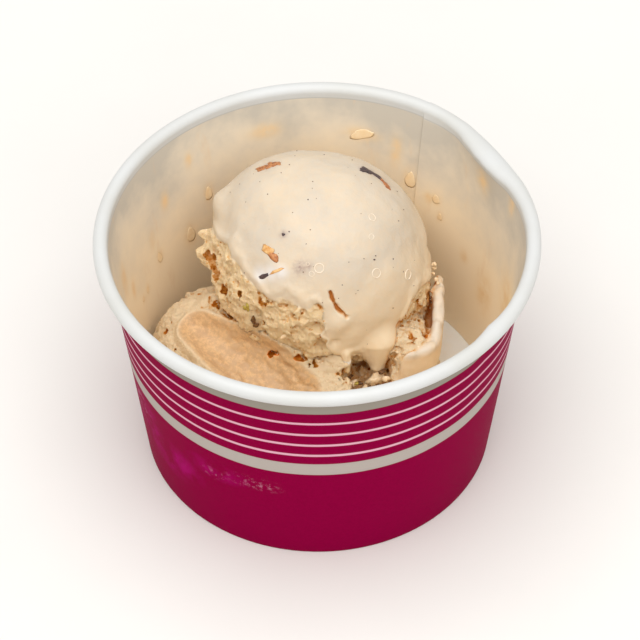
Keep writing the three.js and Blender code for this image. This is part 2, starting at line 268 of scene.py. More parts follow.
BEAD_LAP, BEAD_LAP_FROM, BEAD_LAP_OVER = 0.22, 54, 3
PRINT_SURFACE, RIM_SURFACE, INSIDE_SURFACE = 0, 1, 2


def inner_wall(z):
    return FOOT_RADIUS + WALL_SLOPE * z - PAPER


def outer_wall(z):
    return FOOT_RADIUS + WALL_SLOPE * z


def fold_face(z):
    """Radius of the outer face of the paper that is folded up inside the foot."""
    return inner_wall(z) - FOLD_PAPER - 2 * FOLD_GAP


def azimuth_of(x, y):
    return np.degrees(np.arctan2(y, x)) % 360


# %% The rule that shapes the wall
def shape_wall(x, y, z, inside):
    """Moves points of the plain cone to where the used cup's wall is. Millimetres."""
    azimuth, radius = azimuth_of(x, y), np.hypot(x, y)
    rise = np.clip((z - OVAL_FROM_HEIGHT) / (CUP_HEIGHT - OVAL_FROM_HEIGHT), 0, 1)
    oval = np.interp(azimuth, OVAL_AZIMUTH, OVAL_SHIFT) * rise**2
    across = np.clip((radius - inner_wall(BEAD_HEIGHT)) / (2 * BEAD_RADIUS), 0, 1)
    inner = sum(np.interp(azimuth + a, DENT_AZIMUTH, DENT_INNER) for a in (-1, 0, 1)) / 3
    inner = inner + np.interp(azimuth, NICK_AZIMUTH, NICK_INNER)
    outer = sum(np.interp(azimuth + a, DENT_AZIMUTH, DENT_OUTER) for a in (-1, 0, 1)) / 3
    fade = np.exp(-np.maximum(BEAD_HEIGHT - z, 0) / DENT_REACH)
    dent = (inner + (outer - inner) * across) * fade
    lap_angle = LAP_AZIMUTH - azimuth
    on_lap = (lap_angle > 0) & (lap_angle < LAP_WIDTH)
    lap = np.where(on_lap, 1 - lap_angle / LAP_WIDTH, 0)
    bead_step = BEAD_LAP * across * np.clip((z - BEAD_LAP_FROM) / BEAD_LAP_OVER, 0, 1)
    step = np.where(inside, -LAP_STEP, bead_step) * lap
    scale = (radius + oval + dent + step) / radius
    return x * scale, y * scale, z


def cup_profile():
    """Radius, height and surface of each ring, once round the section of the paper."""
    outside = [(FOOT_RADIUS - FOOT_ROUND, 0), (outer_wall(0) - 0.08, 0.12)]
    outside += [(outer_wall(z), z) for z in np.linspace(0.4, 56.2, 36)]
    turns = np.radians(np.linspace(-125, 180, 26))
    bead = [(BEAD_CENTRE + BEAD_RADIUS * math.cos(t), BEAD_HEIGHT + BEAD_RADIUS * math.sin(t))
            for t in turns]
    inside = [(inner_wall(z), z) for z in np.linspace(57.4, FLOOR_TOP + 0.1, 72)]
    inside += [(inner_wall(FOOT_EDGE), FOOT_EDGE), (fold_face(FOOT_EDGE), FOOT_EDGE),
               (fold_face(FOLD_HEIGHT), FOLD_HEIGHT), (fold_face(FOLD_HEIGHT) - FOLD_PAPER, FOLD_HEIGHT),
               (fold_face(FOOT_ROUND) - FOLD_PAPER, FOOT_ROUND),
               (fold_face(0) - FOLD_PAPER + FOOT_ROUND, 0)]
    runs = ((outside, PRINT_SURFACE), (bead, RIM_SURFACE), (inside, INSIDE_SURFACE))
    return [(*ring, surface) for run, surface in runs for ring in run]


def new_piece(name, points_mm, faces, finishes=(), attributes=None):
    """An object from points in millimetres, smooth shaded, with numbers at its points."""
    mesh = bpy.data.meshes.new(name)
    mesh.from_pydata((np.asarray(points_mm, float) * MM).tolist(), [], [list(map(int, f)) for f in faces])
    mesh.validate()
    mesh.polygons.foreach_set("use_smooth", [True] * len(mesh.polygons))
    for key, values in (attributes or {}).items():
        mesh.attributes.new(key, "FLOAT", "POINT").data.foreach_set("value", np.asarray(values, np.float32))
    for finish in finishes:
        mesh.materials.append(finish)
    piece = bpy.data.objects.new(name, mesh)
    bpy.context.scene.collection.objects.link(piece)
    print(f"{name}: {len(points_mm)} points, {len(mesh.polygons)} faces")
    return piece


# %% Splashes on the inside of the wall
DROPS = [  # azimuth, height, width, length, thickness, turn
    (133.2, 29.8, 2.4, 4.2, 0.16, 0), (147.8, 30.7, 1.6, 3.1, 0.12, 10), (157.1, 26.7, 1.1, 2.1, 0.1, 0),
    (160.7, 26.1, 0.9, 1.6, 0.08, 0), (124.8, 38.1, 1.8, 3.8, 0.12, 0), (76.7, 48.5, 5.6, 2.6, 0.1, 20),
    (60.5, 39.6, 2.6, 4.4, 0.15, 0), (50.8, 37.7, 2.0, 2.5, 0.12, 0), (48.6, 33.5, 1.3, 2.0, 0.1, 0)]
STAINS = [  # azimuth, height, width, length
    (141.5, 43.7, 1.8, 3.8), (130.3, 49.9, 1.4, 3.2), (53.5, 37.0, 1.6, 2.2), (31.9, 53.5, 3.4, 5.2),
    (16.5, 56.0, 2.0, 5.0), (36.7, 27.8, 1.8, 2.4), (166.0, 33.0, 1.6, 3.8), (150.0, 37.0, 1.4, 3.4),
    (8.0, 33.0, 6.0, 9.0), (24.0, 24.0, 5.0, 8.0), (66.0, 46.0, 2.0, 6.0), (105.0, 50.0, 5.0, 3.0),
    (172.0, 40.0, 3.0, 6.0)]
STAIN_SPREAD = 0.62


def stain_share(points_mm):
    """1 in the middle of a splash, fading softly outwards."""
    azimuth, share = azimuth_of(points_mm[:, 0], points_mm[:, 1]), np.zeros(len(points_mm))
    for place, height, width, length in [d[:4] for d in DROPS] + STAINS:
        side = np.radians((azimuth - place + 180) % 360 - 180) * inner_wall(height)
        up = points_mm[:, 2] - height
        away = (side / (STAIN_SPREAD * width)) ** 2 + (up / (STAIN_SPREAD * length)) ** 2
        share = np.maximum(share, np.exp(-away))
    return share


# %% The wall's mesh
near_lap = LAP_AZIMUTH + np.array([-0.6, -0.25, -0.05, 0.05, 0.25, 0.6])
azimuths = np.sort(np.concatenate([np.arange(360) + 0.0, near_lap]))
rings = cup_profile()
ring_radius, ring_height, ring_finish = (np.array(v) for v in zip(*rings))
turn = np.radians(azimuths)[None, :]
x = ring_radius[:, None] * np.cos(turn)
y = ring_radius[:, None] * np.sin(turn)
z = ring_height[:, None] + 0 * x
is_inside = ((ring_finish == INSIDE_SURFACE) & (ring_height > FLOOR_TOP))[:, None]
points = np.stack(shape_wall(x, y, z, is_inside), -1).reshape(-1, 3)
count, around = len(rings), len(azimuths)
faces, face_finish = [], []
for i in range(count):
    j = (i + 1) % count
    finish = ring_finish[i] if ring_finish[i] == RIM_SURFACE else ring_finish[j]
    finish = PRINT_SURFACE if i == count - 1 else finish
    for k in range(around):
        m = (k + 1) % around
        faces.append((i * around + k, i * around + m, j * around + m, j * around + k))
        face_finish.append(int(finish))
stain = stain_share(points) * np.broadcast_to(is_inside, z.shape).ravel()
cup_wall = new_piece("paper_cup_wall", points, faces, attributes={"stain": stain})
cup_wall.data.polygons.foreach_set("material_index", face_finish)
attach(cup_wall, "root")
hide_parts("cup_wall")

# %% [markdown]
# ## The printed paper
# Offset ink on coated board: a deep magenta with light bands where the board stays bare. The
# bands are rings at fixed heights, so the height in Object coordinates picks the colour. A
# colour ramp could hold them all, but two soft steps for each band keep its lower and upper
# height as plain numbers. On the print there are dried smears: pale, purplish and dull.

# %% Printed paper
INK = screen(130, 0, 53)
INK_MOTTLED = screen(139, 0, 58)
INK_SMEARED = screen(174, 8, 112)
SCUFFED = screen(214, 150, 178)
# The wide band is bare white board; its grey is painted shade of the side wall.
SHADED_BARE_BAND = screen(178, 168, 161)
# The top band's colour is painted shadow of the rolled rim above it.
SHADED_BARE_TOP = screen(152, 145, 134)
THIN_LINE = screen(220, 170, 186)
LIGHT_TOP = 51.745
THIN_LINES = [(47.88, 48.58), (43.89, 44.61), (40.15, 40.87), (36.44, 37.18)]
WIDE_BAND = (29.72, 33.66)
LINE_EDGE, ABOVE_ALL = 0.1, 80
SMEARS = [  # place, reach, how far it spreads along each axis
    ((-38.5, -16.5, 20), 13, (1, 1, 0.8)), ((-32, -26, 16), 10, (1, 1, 0.7)),
    ((-22, -34.5, 23), 8, (1.2, 1, 0.5))]
SCUFFS = [
    ((-39, -14, 24), 7, (1, 1, 0.9)), ((-22.5, -34.5, 21.5), 4, (1, 1, 0.6)),
    ((-14, -38.5, 23.5), 6, (1.3, 1, 0.5))]

print_finish = Recipe("printed_board")
waver = print_finish.span(print_finish.noise(9, 2), 0.3, 0.7, -0.05, 0.05)
height = print_finish.math("ADD", print_finish.math("MULTIPLY", print_finish.height(), 1 / MM), waver)


def band(low, high):
    rises = print_finish.span(height, low - LINE_EDGE, low + LINE_EDGE)
    falls = print_finish.span(height, high - LINE_EDGE, high + LINE_EDGE, 1, 0)
    return print_finish.math("MULTIPLY", rises, falls)


def any_of(shares):
    """The greatest of several shares, at each point."""
    most = shares[0]
    for share in shares[1:]:
        most = print_finish.math("MAXIMUM", most, share)
    return most


def marked(patches, pattern):
    """Where the patches are, broken up by a pattern."""
    share = any_of([print_finish.near(*patch) for patch in patches])
    return print_finish.math("MULTIPLY", print_finish.span(share, 0, 0.6), pattern)


smear = marked(SMEARS, print_finish.span(print_finish.noise(7, 6, 0.65), 0.42, 0.62, 0, 0.6))
scuff = marked(SCUFFS, print_finish.span(print_finish.noise(1.6, 5, 0.7), 0.52, 0.72, 0, 0.55))
mottle = print_finish.span(print_finish.noise(0.6, 4, 0.6), 0.3, 0.7)
color = print_finish.mix(mottle, INK, INK_MOTTLED)
color = print_finish.mix(smear, color, INK_SMEARED)
color = print_finish.mix(scuff, color, SCUFFED)
color = print_finish.mix(any_of([band(*line) for line in THIN_LINES]), color, THIN_LINE)
# Bare board in the wide band, painted grey as shade of the side wall.
color = print_finish.mix(band(*WIDE_BAND), color, SHADED_BARE_BAND)
# Painted shadow of the rim: the bare band right under it is given a darker colour.
color = print_finish.mix(band(LIGHT_TOP, ABOVE_ALL), color, SHADED_BARE_TOP)
board_grain = print_finish.bump(print_finish.noise(0.35, 3), 0.02)
print_finish.set(Base_Color=color, Roughness=print_finish.span(mottle, 0, 1, 0.4, 0.52), Normal=board_grain,
                 IOR=1.045)

# %% [markdown]
# ## Bare and coated paper
# The rolled rim is clean white board, with painted shade under the bead. The inside of the wall
# is the same board behind a film of melted gelato, which is thicker further down, so it turns
# from ivory to a warm beige; its ramp also holds painted light, darker near the top, where most
# light falls, and bright low down, where the cup shades it. The splashes are warmer still, where
# the wall's points say stained, and noise breaks them up.

# %% Rim and inside of the wall
rim_finish = Recipe("white_rim_board")
dust = rim_finish.noise(14, 4)
rim_color = rim_finish.mix(rim_finish.span(dust, 0.35, 0.7), screen(207, 208, 207), screen(202, 202, 198))
# Painted shade under the bead, darker towards its lower edge.
underside_shade = rim_finish.span(rim_finish.height(), 57.8 * MM, 57.0 * MM)
rim_color = rim_finish.mix(underside_shade, rim_color, screen(160, 153, 144))
grain = rim_finish.bump(rim_finish.noise(0.4, 3), 0.015)
rim_finish.set(Base_Color=rim_color, Roughness=0.42, Normal=grain)

film_finish = Recipe("paper_with_gelato_film")
level = film_finish.span(film_finish.height(), 8 * MM, 56 * MM)
patchy = film_finish.noise(16, 4, 0.6)
level = film_finish.math("ADD", level, film_finish.span(patchy, 0.3, 0.7, -0.16, 0.16), clamp=True)
# Warmer low down from the film, and painted light: darker near the top, brightest low down.
FILM_AND_PAINTED_LIGHT = [(0, screen(255, 234, 200)), (0.45, screen(255, 237, 206)),
        (0.8, screen(230, 218, 198)), (1, screen(203, 196, 183))]
film_color = film_finish.ramp(level, FILM_AND_PAINTED_LIGHT)
streak_place = film_finish.nodes.new("ShaderNodeMapping")
film_finish.links.new(film_finish.place, streak_place.inputs["Vector"])
streak_place.inputs["Scale"].default_value = (1, 1, 0.25)
runs = film_finish.noise(5, 4, 0.6, place=streak_place.outputs[0])
film_color = film_finish.mix(film_finish.span(runs, 0.62, 0.85, 0, 0.5), film_color, screen(232, 196, 150))
uneven = film_finish.span(film_finish.noise(2.5, 3), 0.3, 0.6, 0.35, 0.95)
splash = film_finish.math("MULTIPLY", film_finish.attribute("stain"), uneven)
film_color = film_finish.mix(splash, film_color, screen(242, 208, 156))
film_finish.set(Base_Color=film_color, Roughness=film_finish.span(runs, 0.3, 0.7, 0.5, 0.36),
                Normal=film_finish.bump(runs, 0.05))
for finish in (print_finish, rim_finish, film_finish):
    cup_wall.data.materials.append(finish.material)
print("cup finishes:", [m.name for m in cup_wall.data.materials])

# %% [markdown]
# ## The cup's floor
# The floor is a paper disc with a skirt that hangs down between the wall and the folded foot.
# It is all circles, so Geometry Nodes can make it from its section: the section's outline is
# a line of a few points, which is swept round a circle, and the points that meet on the axis
# are merged. Realize Instances and Set Material end the tree, and the result is kept as a
# plain mesh. Its finish is white board like the rim's, with damp, creamy patches.

# %% Helpers for Geometry Nodes
class Tree:
    """A Geometry Nodes tree with named inputs."""

    def __init__(self, name, **inputs):
        self.group = bpy.data.node_groups.new(name, "GeometryNodeTree")
        self.group.interface.new_socket("Geometry", in_out="INPUT", socket_type="NodeSocketGeometry")
        kinds = {float: "NodeSocketFloat", int: "NodeSocketInt"}
        for key, value in inputs.items():
            socket = self.group.interface.new_socket(key, in_out="INPUT", socket_type=kinds[type(value)])
            socket.default_value = value
        self.group.interface.new_socket("Geometry", in_out="OUTPUT", socket_type="NodeSocketGeometry")
        self.source = self.group.nodes.new("NodeGroupInput").outputs
        self.values = inputs

    def node(self, kind, settings=None, **inputs):
        made = self.group.nodes.new(kind)
        for key, value in (settings or {}).items():
            setattr(made, key, value)
        for key, value in inputs.items():
            socket = made.inputs[key.replace("_", " ")]
            if isinstance(value, bpy.types.NodeSocket):
                self.group.links.new(value, socket)
            else:
                socket.default_value = value
        return made

    def finish(self, geometry, material):
        real = self.node("GeometryNodeRealizeInstances", Geometry=geometry)
        painted = self.node("GeometryNodeSetMaterial", Geometry=real.outputs[0], Material=material)
        end = self.group.nodes.new("NodeGroupOutput")
        self.group.links.new(painted.outputs[0], end.inputs[0])

    def grow(self, name, base):
        """Runs the tree on an object and keeps the result as a plain mesh under a new name."""
        modifier = base.modifiers.new(self.group.name, "NODES")
        modifier.node_group = self.group
        for item in self.group.interface.items_tree:
            if item.in_out == "INPUT" and item.name in self.values:
                modifier[item.identifier] = self.values[item.name]
        ready = base.evaluated_get(bpy.context.evaluated_depsgraph_get())
        mesh = bpy.data.meshes.new_from_object(ready)
        base.modifiers.clear()
        mesh.name = name
        piece = bpy.data.objects.new(name, mesh)
        bpy.context.scene.collection.objects.link(piece)
        print(f"{name}: {len(mesh.vertices)} points, {len(mesh.polygons)} faces")
        return piece


def seed_object(name, points_mm):
    """An object of loose points, for a tree to put things on."""
    mesh = bpy.data.meshes.new(name)
    mesh.from_pydata((np.asarray(points_mm, float) * MM).tolist(), [], [])
    made = bpy.data.objects.new(name, mesh)
    bpy.context.scene.collection.objects.link(made)
    return made


# %% The floor disc
FLOOR_SEGMENTS, PATH_RADIUS = 180, 10
EDGE_ROUND = 0.3
floor_edge = inner_wall(FLOOR_TOP) - 0.04
skirt_foot = FOOT_EDGE + FOLD_GAP
skirt_edge = inner_wall(skirt_foot) - FOLD_GAP
FLOOR_SECTION = [(0, FLOOR_TOP - PAPER), (floor_edge - FOLD_PAPER, FLOOR_TOP - PAPER),
                 (skirt_edge - FOLD_PAPER, skirt_foot), (skirt_edge, skirt_foot),
                 (floor_edge, FLOOR_TOP - EDGE_ROUND), (floor_edge - 0.05, FLOOR_TOP - 0.05),
                 (floor_edge - EDGE_ROUND, FLOOR_TOP)]
FLOOR_SECTION += [(r, FLOOR_TOP) for r in np.linspace(floor_edge - 2, 0, 12)]

turned = Tree("turned_section", Circle=PATH_RADIUS * MM, Segments=FLOOR_SEGMENTS)
outline = turned.node("GeometryNodeMeshToCurve", Mesh=turned.source["Geometry"])
round_path = turned.node("GeometryNodeCurvePrimitiveCircle", Radius=turned.source["Circle"],
                         Resolution=turned.source["Segments"])
swept = turned.node("GeometryNodeCurveToMesh", Curve=round_path.outputs[0])
turned.group.links.new(outline.outputs[0], swept.inputs["Profile Curve"])
closed = turned.node("GeometryNodeMergeByDistance", Geometry=swept.outputs[0], Distance=0.001 * MM)


def paper_disc(name, section_mm, material):
    """Sweeps a section, given as radius and height, round the axis."""
    turned.finish(closed.outputs[0], material)
    mesh = bpy.data.meshes.new("section")
    corners = [((r - PATH_RADIUS) * MM, -h * MM, 0) for r, h in section_mm]
    mesh.from_pydata(corners, [(i, i + 1) for i in range(len(corners) - 1)], [])
    base = bpy.data.objects.new("section", mesh)
    bpy.context.scene.collection.objects.link(base)
    piece = turned.grow(name, base)
    bpy.data.objects.remove(base)
    return piece


floor_finish = Recipe("floor_board")
damp = floor_finish.noise(12, 4, 0.6)
damp = floor_finish.span(damp, 0.4, 0.7, 0, 0.6)
floor_color = floor_finish.mix(damp, screen(238, 237, 233), screen(238, 226, 206))
floor_grain = floor_finish.bump(floor_finish.noise(0.4, 3), 0.015)
floor_finish.set(Base_Color=floor_color, Roughness=0.48, Normal=floor_grain)
cup_floor = paper_disc("paper_floor_disc", FLOOR_SECTION, floor_finish.material)
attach(cup_floor, "root")
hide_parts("cup_floor")

# %% [markdown]
# ## Gelato as a distance
# Torn gelato has overhangs, pits and rounded lumps of every size, which are hard to push out
# of a sphere. So its shape is written as a distance: a rule that says how far any point in
# space is from the surface, negative inside. Distances are easy to join, carve and roughen.
# Then the zero level is found on a fine grid and becomes a mesh. Blender's metaballs work
# alike, but a rule of our own can have the same numbers as the CAD model.

# %% Joining, carving and noise
def join(a, b, k):
    """Both bodies as one, with a fillet about k wide where they meet."""
    h = np.clip(0.5 + 0.5 * (b - a) / k, 0, 1)
    return b + (a - b) * h - k * h * (1 - h)


def carve(a, b, k):
    """What two distances have in common: a body a, cut by -b, with a soft edge."""
    return -join(-a, -b, k)


def smooth_step(t):
    u = np.clip(t, 0, 1)
    return u * u * (3 - 2 * u)


def lattice_value(ix, iy, iz, seed):
    """A number from -1 to 1 for each corner of a lattice, the same on every run."""
    ix, iy, iz = (v.astype(np.int64).astype(np.uint32) for v in (ix, iy, iz))
    h = ix * np.uint32(374761393) + iy * np.uint32(668265263) + iz * np.uint32(2246822519)
    h = h + np.uint32(seed * 3266489917 & 0xFFFFFFFF)
    h = (h ^ (h >> np.uint32(13))) * np.uint32(1274126177)
    h = h ^ (h >> np.uint32(16))
    return h.astype(np.float32) * np.float32(2.0 / 4294967295.0) - np.float32(1)


def noise(x, y, z, size, seed):
    cell = [np.floor(v / size) for v in (x, y, z)]
    part = [smooth_step(v / size - c) for v, c in zip((x, y, z), cell)]
    total = 0
    for corner in range(8):
        step = [corner & 1, corner >> 1 & 1, corner >> 2 & 1]
        weight = 1
        for s, p in zip(step, part):
            weight = weight * (p if s else 1 - p)
        total = total + weight * lattice_value(*(c + s for c, s in zip(cell, step)), seed)
    return total


def ellipsoid(x, y, z, at, half):
    d = [v - c for v, c in zip((x, y, z), at)]
    near = np.sqrt(sum((v / h) ** 2 for v, h in zip(d, half))) + 1e-6
    slope = np.sqrt(sum((v / h**2) ** 2 for v, h in zip(d, half))) + 1e-6
    return near * (near - 1) / slope


def capsule(x, y, z, start, end, radius, end_radius=None):
    """A rod with round ends; with a second radius it widens like a carrot."""
    axis = np.subtract(end, start)
    d = [v - c for v, c in zip((x, y, z), start)]
    t = np.clip(sum(v * a for v, a in zip(d, axis)) / float(axis @ axis), 0, 1)
    girth = radius if end_radius is None else radius + (end_radius - radius) * t
    return np.sqrt(sum((v - t * a) ** 2 for v, a in zip(d, axis))) - girth


# %% From a distance to a mesh
def sample(distance, low, high, step, reach=0.8):
    """The distance on a grid: everywhere on every fourth point, on all points near the surface."""
    coarse = 4
    counts = [math.ceil((h - l) / (step * coarse)) * coarse + 1 for l, h in zip(low, high)]
    lines = [(l + step * np.arange(n)).astype(np.float32) for l, n in zip(low, counts)]
    rough = distance(*np.meshgrid(*[line[::coarse] for line in lines], indexing="ij"))
    pick = np.ix_(*[(np.arange(n) + coarse // 2) // coarse for n in counts])
    field = rough[pick].astype(np.float32)
    at = np.nonzero(np.abs(field) < reach + coarse * step)
    field[at] = distance(*[line[i] for line, i in zip(lines, at)])
    return field


def zero_surface(field, low, step):
    """One point in each grid cell that the surface passes through, and a face round each edge."""
    inside = field < 0
    nx, ny, nz = field.shape
    corners = [(a, b, c) for a in (0, 1) for b in (0, 1) for c in (0, 1)]
    full = sum(inside[a:nx - 1 + a, b:ny - 1 + b, c:nz - 1 + c].astype(np.uint8) for a, b, c in corners)
    active = (full > 0) & (full < 8)
    cells = np.argwhere(active)
    index = -np.ones(active.shape, np.int64)
    index[active] = np.arange(len(cells))
    total, hits = np.zeros((len(cells), 3)), np.zeros(len(cells))
    for corner in corners:
        for axis in range(3):
            if corner[axis]:
                continue
            other = tuple(1 if k == axis else v for k, v in enumerate(corner))
            a = field[tuple((cells + corner).T)]
            b = field[tuple((cells + other).T)]
            crossed = (a < 0) != (b < 0)
            spot = np.repeat(np.array([corner], float), len(cells), 0)
            spot[:, axis] = np.where(crossed, a / np.where(crossed, a - b, 1), 0)
            total[crossed] += spot[crossed]
            hits[crossed] += 1
    points = np.array(low) + (cells + total / hits[:, None]) * step
    faces = []
    for axis in range(3):
        first = tuple(slice(0, -1) if k == axis else slice(None) for k in range(3))
        second = tuple(slice(1, None) if k == axis else slice(None) for k in range(3))
        edges = np.argwhere(inside[first] != inside[second])
        one, two = (axis + 1) % 3, (axis + 2) % 3
        whole = (edges[:, one] > 0) & (edges[:, two] > 0)
        whole &= (edges[:, one] < field.shape[one] - 1) & (edges[:, two] < field.shape[two] - 1)
        edges = edges[whole]
        quad = []
        for back_one, back_two in ((1, 1), (0, 1), (0, 0), (1, 0)):
            cell = edges.copy()
            cell[:, one] -= back_one
            cell[:, two] -= back_two
            quad.append(index[tuple(cell.T)])
        quad = np.stack(quad, 1)
        outward = inside[first][tuple(edges.T)]
        quad[~outward] = quad[~outward][:, ::-1]
        faces.append(quad)
    return points, np.concatenate(faces)


def largest_shell(points, faces):
    """Drops closed air holes and loose specks: only the biggest connected surface stays."""
    label = np.arange(len(points))
    while True:
        new = label.copy()
        np.minimum.at(new, faces.ravel(), np.repeat(label[faces].min(1), 4))
        new = new[new]
        if (new == label).all():
            break
        label = new
    biggest = np.bincount(label).argmax()
    keep = label == biggest
    renumber = np.cumsum(keep) - 1
    return points[keep], renumber[faces[keep[faces[:, 0]]]]


def gradient(distance, points, reach=0.12):
    """Which way the distance grows, and how fast."""
    x, y, z = points.T
    slopes = []
    for a, b, c in ((reach, 0, 0), (0, reach, 0), (0, 0, reach)):
        slopes.append(distance(x + a, y + b, z + c) - distance(x - a, y - b, z - c))
    return np.stack(slopes, 1) / (2 * reach)


def relax(points, faces, distance, times=2):
    """Evens out the points along the surface and pulls them back onto it."""
    for _ in range(times):
        total, share = np.zeros_like(points), np.zeros(len(points))
        for a, b in ((0, 1), (1, 2), (2, 3), (3, 0), (1, 0), (2, 1), (3, 2), (0, 3)):
            for k in range(3):
                total[:, k] += np.bincount(faces[:, a], points[faces[:, b], k], len(points))
            share += np.bincount(faces[:, a], minlength=len(points))
        points = 0.5 * points + 0.5 * total / share[:, None]
        slope = gradient(distance, points)
        steep = np.maximum((slope**2).sum(1), 0.25)
        off = np.clip(distance(*points.T) / steep, -0.3, 0.3)
        points = points - slope * off[:, None]
    return points


def closeness(points, normals, distance):
    """0 in the open, towards 1 in pits and slits: how little room there is above the surface."""
    shut = 0
    for step, weight in ((0.5, 0.25), (1.2, 0.4), (3.0, 0.35)):
        room = distance(*(points + normals * step).T)
        shut = shut + weight * np.clip(1 - room / step, 0, 1)
    return shut


# %% [markdown]
# ## The upper scoop's form
# The upper scoop is a ball. Its top and front have a smooth, melted skin that ends in a
# rounded lip; a tongue of it has run down in front, with a thin drip beside it. Below the lip
# the gelato is torn: crags of several sizes, with air holes. Swellings, pits and a crack in the
# skin are set by azimuth and elevation about the ball's centre, as in the CAD model. Finer
# layers of the same kind are added here, and the larger holes are short worms cut out of it.

# %% Sizes of the upper scoop
BALL, BALL_RADIUS, BALL_FLAT, BALL_FLAT_ROUND = (0.3, 15.4, 36.5), 24.0, 20.0, 6.0
SWELLINGS = [  # azimuth, elevation, height, spread
    (165, 28, 2.2, 8), (146, 42, 1.9, 26), (354, -4, 0.8, 16), (178, 3, 2.8, 7), (179, 5, 1.3, 2.5),
    (172, 11, 2.9, 3), (308, -36, 2.4, 8), (318, -29, 1.2, 8), (280, 9, 1.1, 6), (343, -14, 2.4, 11),
    (332, -24, 2.0, 9)]
PITS = [(268, 8, 1.8, 4), (278, -4, 1.1, 2.2), (270.5, -9, 1.6, 3), (286, -34, 1.5, 6), (205, 2, 1.2, 4),
        (233, 3, 1.6, 5)]
TONGUE_TIP, TONGUE_BLEND = ((13.0, -2.8, 29.6), (13.0, -4.7, 24.1), 4.4, 1.8), 2.5
THIN_DRIP, DRIP_BLEND = ((6.1, -7.4, 30.6), (6.3, -8.5, 26.2), 1.1, 0.7), 0.8
CRACK = [(276.5, 28), (278, 22), (280, 18), (284.5, 13)]
CRACK_HALF_WIDTH, CRACK_DEPTH = 0.5, 1.3
SKIN_AZIMUTH = [0, 20, 60, 110, 150, 165, 172, 185, 200, 212, 223, 231, 239, 249, 256, 263, 269, 271.5,
                272.8, 274.5, 278, 283, 289, 293.5, 297, 301, 305, 311, 316, 318.5, 326, 338, 345, 352, 360]
SKIN_ELEVATION = [-5, -8, -20, -12, 12, 16, 17, 24, 31, 29, 25, 25, 20, 24, 22, 19, 22, 18,
                  4, -8, -13, -17, -19, -20, -27, -37, -42, -38, -28, -9, 1, 3, 0, -3, -5]
SKIN_STEP, SKIN_DEPTH = 2.2, 0.5
LIP_HEIGHT, LIP_WIDTH = 0.42, 3
HOLE_BLEND = 0.4
TORN_HOLES = [  # start, end, radius at each
    ((-24, 14, 39.4), (-21.8, 9.2, 38.4), 1.1, 2), ((-20.6, 5.9, 36.8), (-19.9, 5.5, 36.5), 0.8, 0.9),
    ((-20.4, 4.6, 29.8), (-19.6, 4, 29.5), 0.7, 0.9), ((-22.4, 8.6, 29.6), (-21.8, 8.4, 29.4), 0.8, 0.8),
    ((-12.5, -3, 42.7), (-11.9, -4, 42.9), 0.6, 0.9), ((-16.8, 0.3, 41.5), (-17.1, -0.7, 42.2), 0.4, 0.5),
    ((-10.1, -4.1, 27), (-8.8, -5, 28.6), 0.7, 0.8), ((-4.4, -7.2, 29), (-3.3, -7.3, 28.8), 0.6, 0.8),
    ((-1.8, -8, 27.2), (-1.2, -8.3, 27.1), 0.7, 0.7), ((-4.5, -11.3, 24.8), (-4.3, -11.2, 24.7), 0.6, 0.6),
    ((-2.4, -11.5, 25.6), (-2.2, -11.5, 25.5), 0.6, 0.6),
    ((-33.6, 5.9, 23.6), (-33.3, 5.8, 23.5), 0.6, 0.7),
    ((-31.5, -0.6, 24.7), (-31.2, -0.6, 24.6), 0.5, 0.6), ((19.6, -2.3, 32), (20.1, -3.9, 31.9), 0.5, 0.6),
    ((22.9, 0.4, 30.2), (23.4, -2.4, 30.8), 0.5, 0.5), ((22, 5.4, 33), (22.6, 5, 31.4), 0.5, 0.5),
    ((20.5, 3, 32.3), (20.8, 2.1, 31.6), 0.5, 0.5), ((18.5, 0.2, 32.2), (17.4, -1.2, 32.6), 0.35, 0.35),
    ((0.6, -6.5, 44.1), (0.5, -6.4, 44.3), 0.35, 0.35)]
BALL_CRAGS = [(5.2, 0.9, 1), (2.4, 0.6, 2)]
BALL_FLAKES = [(3.2, 0.8, 7), (1.6, 0.85, 8), (0.9, 0.7, 9)]
SKIN_WAVES = [(11, 0.45, 14), (6, 0.3, 18), (3.5, 0.18, 15), (2, 0.07, 16)]


def direction(azimuth, elevation):
    a, e = math.radians(azimuth), math.radians(elevation)
    return math.cos(e) * math.cos(a), math.cos(e) * math.sin(a), math.sin(e)


def bump_at(unit, azimuth, elevation, height, spread):
    facing = sum(u * d for u, d in zip(unit, direction(azimuth, elevation)))
    return height * np.exp(-2 * (1 - facing) / math.radians(spread) ** 2)


def about_ball(x, y, z):
    offset = [v - c for v, c in zip((x, y, z), BALL)]
    reach = np.sqrt(sum(v * v for v in offset)) + 1e-6
    return reach, [v / reach for v in offset]


def torn_share(x, y, z):
    """0 on the melted skin and 1 on the torn gelato below its lip."""
    _, unit = about_ball(x, y, z)
    elevation = np.degrees(np.arcsin(np.clip(unit[2], -1, 1)))
    sway = [2.5 * noise(x, y, z, 4.0, seed) + 1.5 * noise(x, y, z, 1.7, seed + 1) for seed in (5, 25)]
    azimuth = (azimuth_of(unit[0], unit[1]) + sway[1]) % 360
    return np.interp(azimuth, SKIN_AZIMUTH, SKIN_ELEVATION) + sway[0] - elevation


def layers(x, y, z, table):
    return sum(depth * noise(x, y, z, size, seed) for size, depth, seed in table)


def flakes(x, y, z, table):
    """Sharp torn edges with rounded dells between them: the folded-down value of a noise."""
    return sum(depth * (0.3 - np.abs(noise(x, y, z, size, seed))) for size, depth, seed in table)


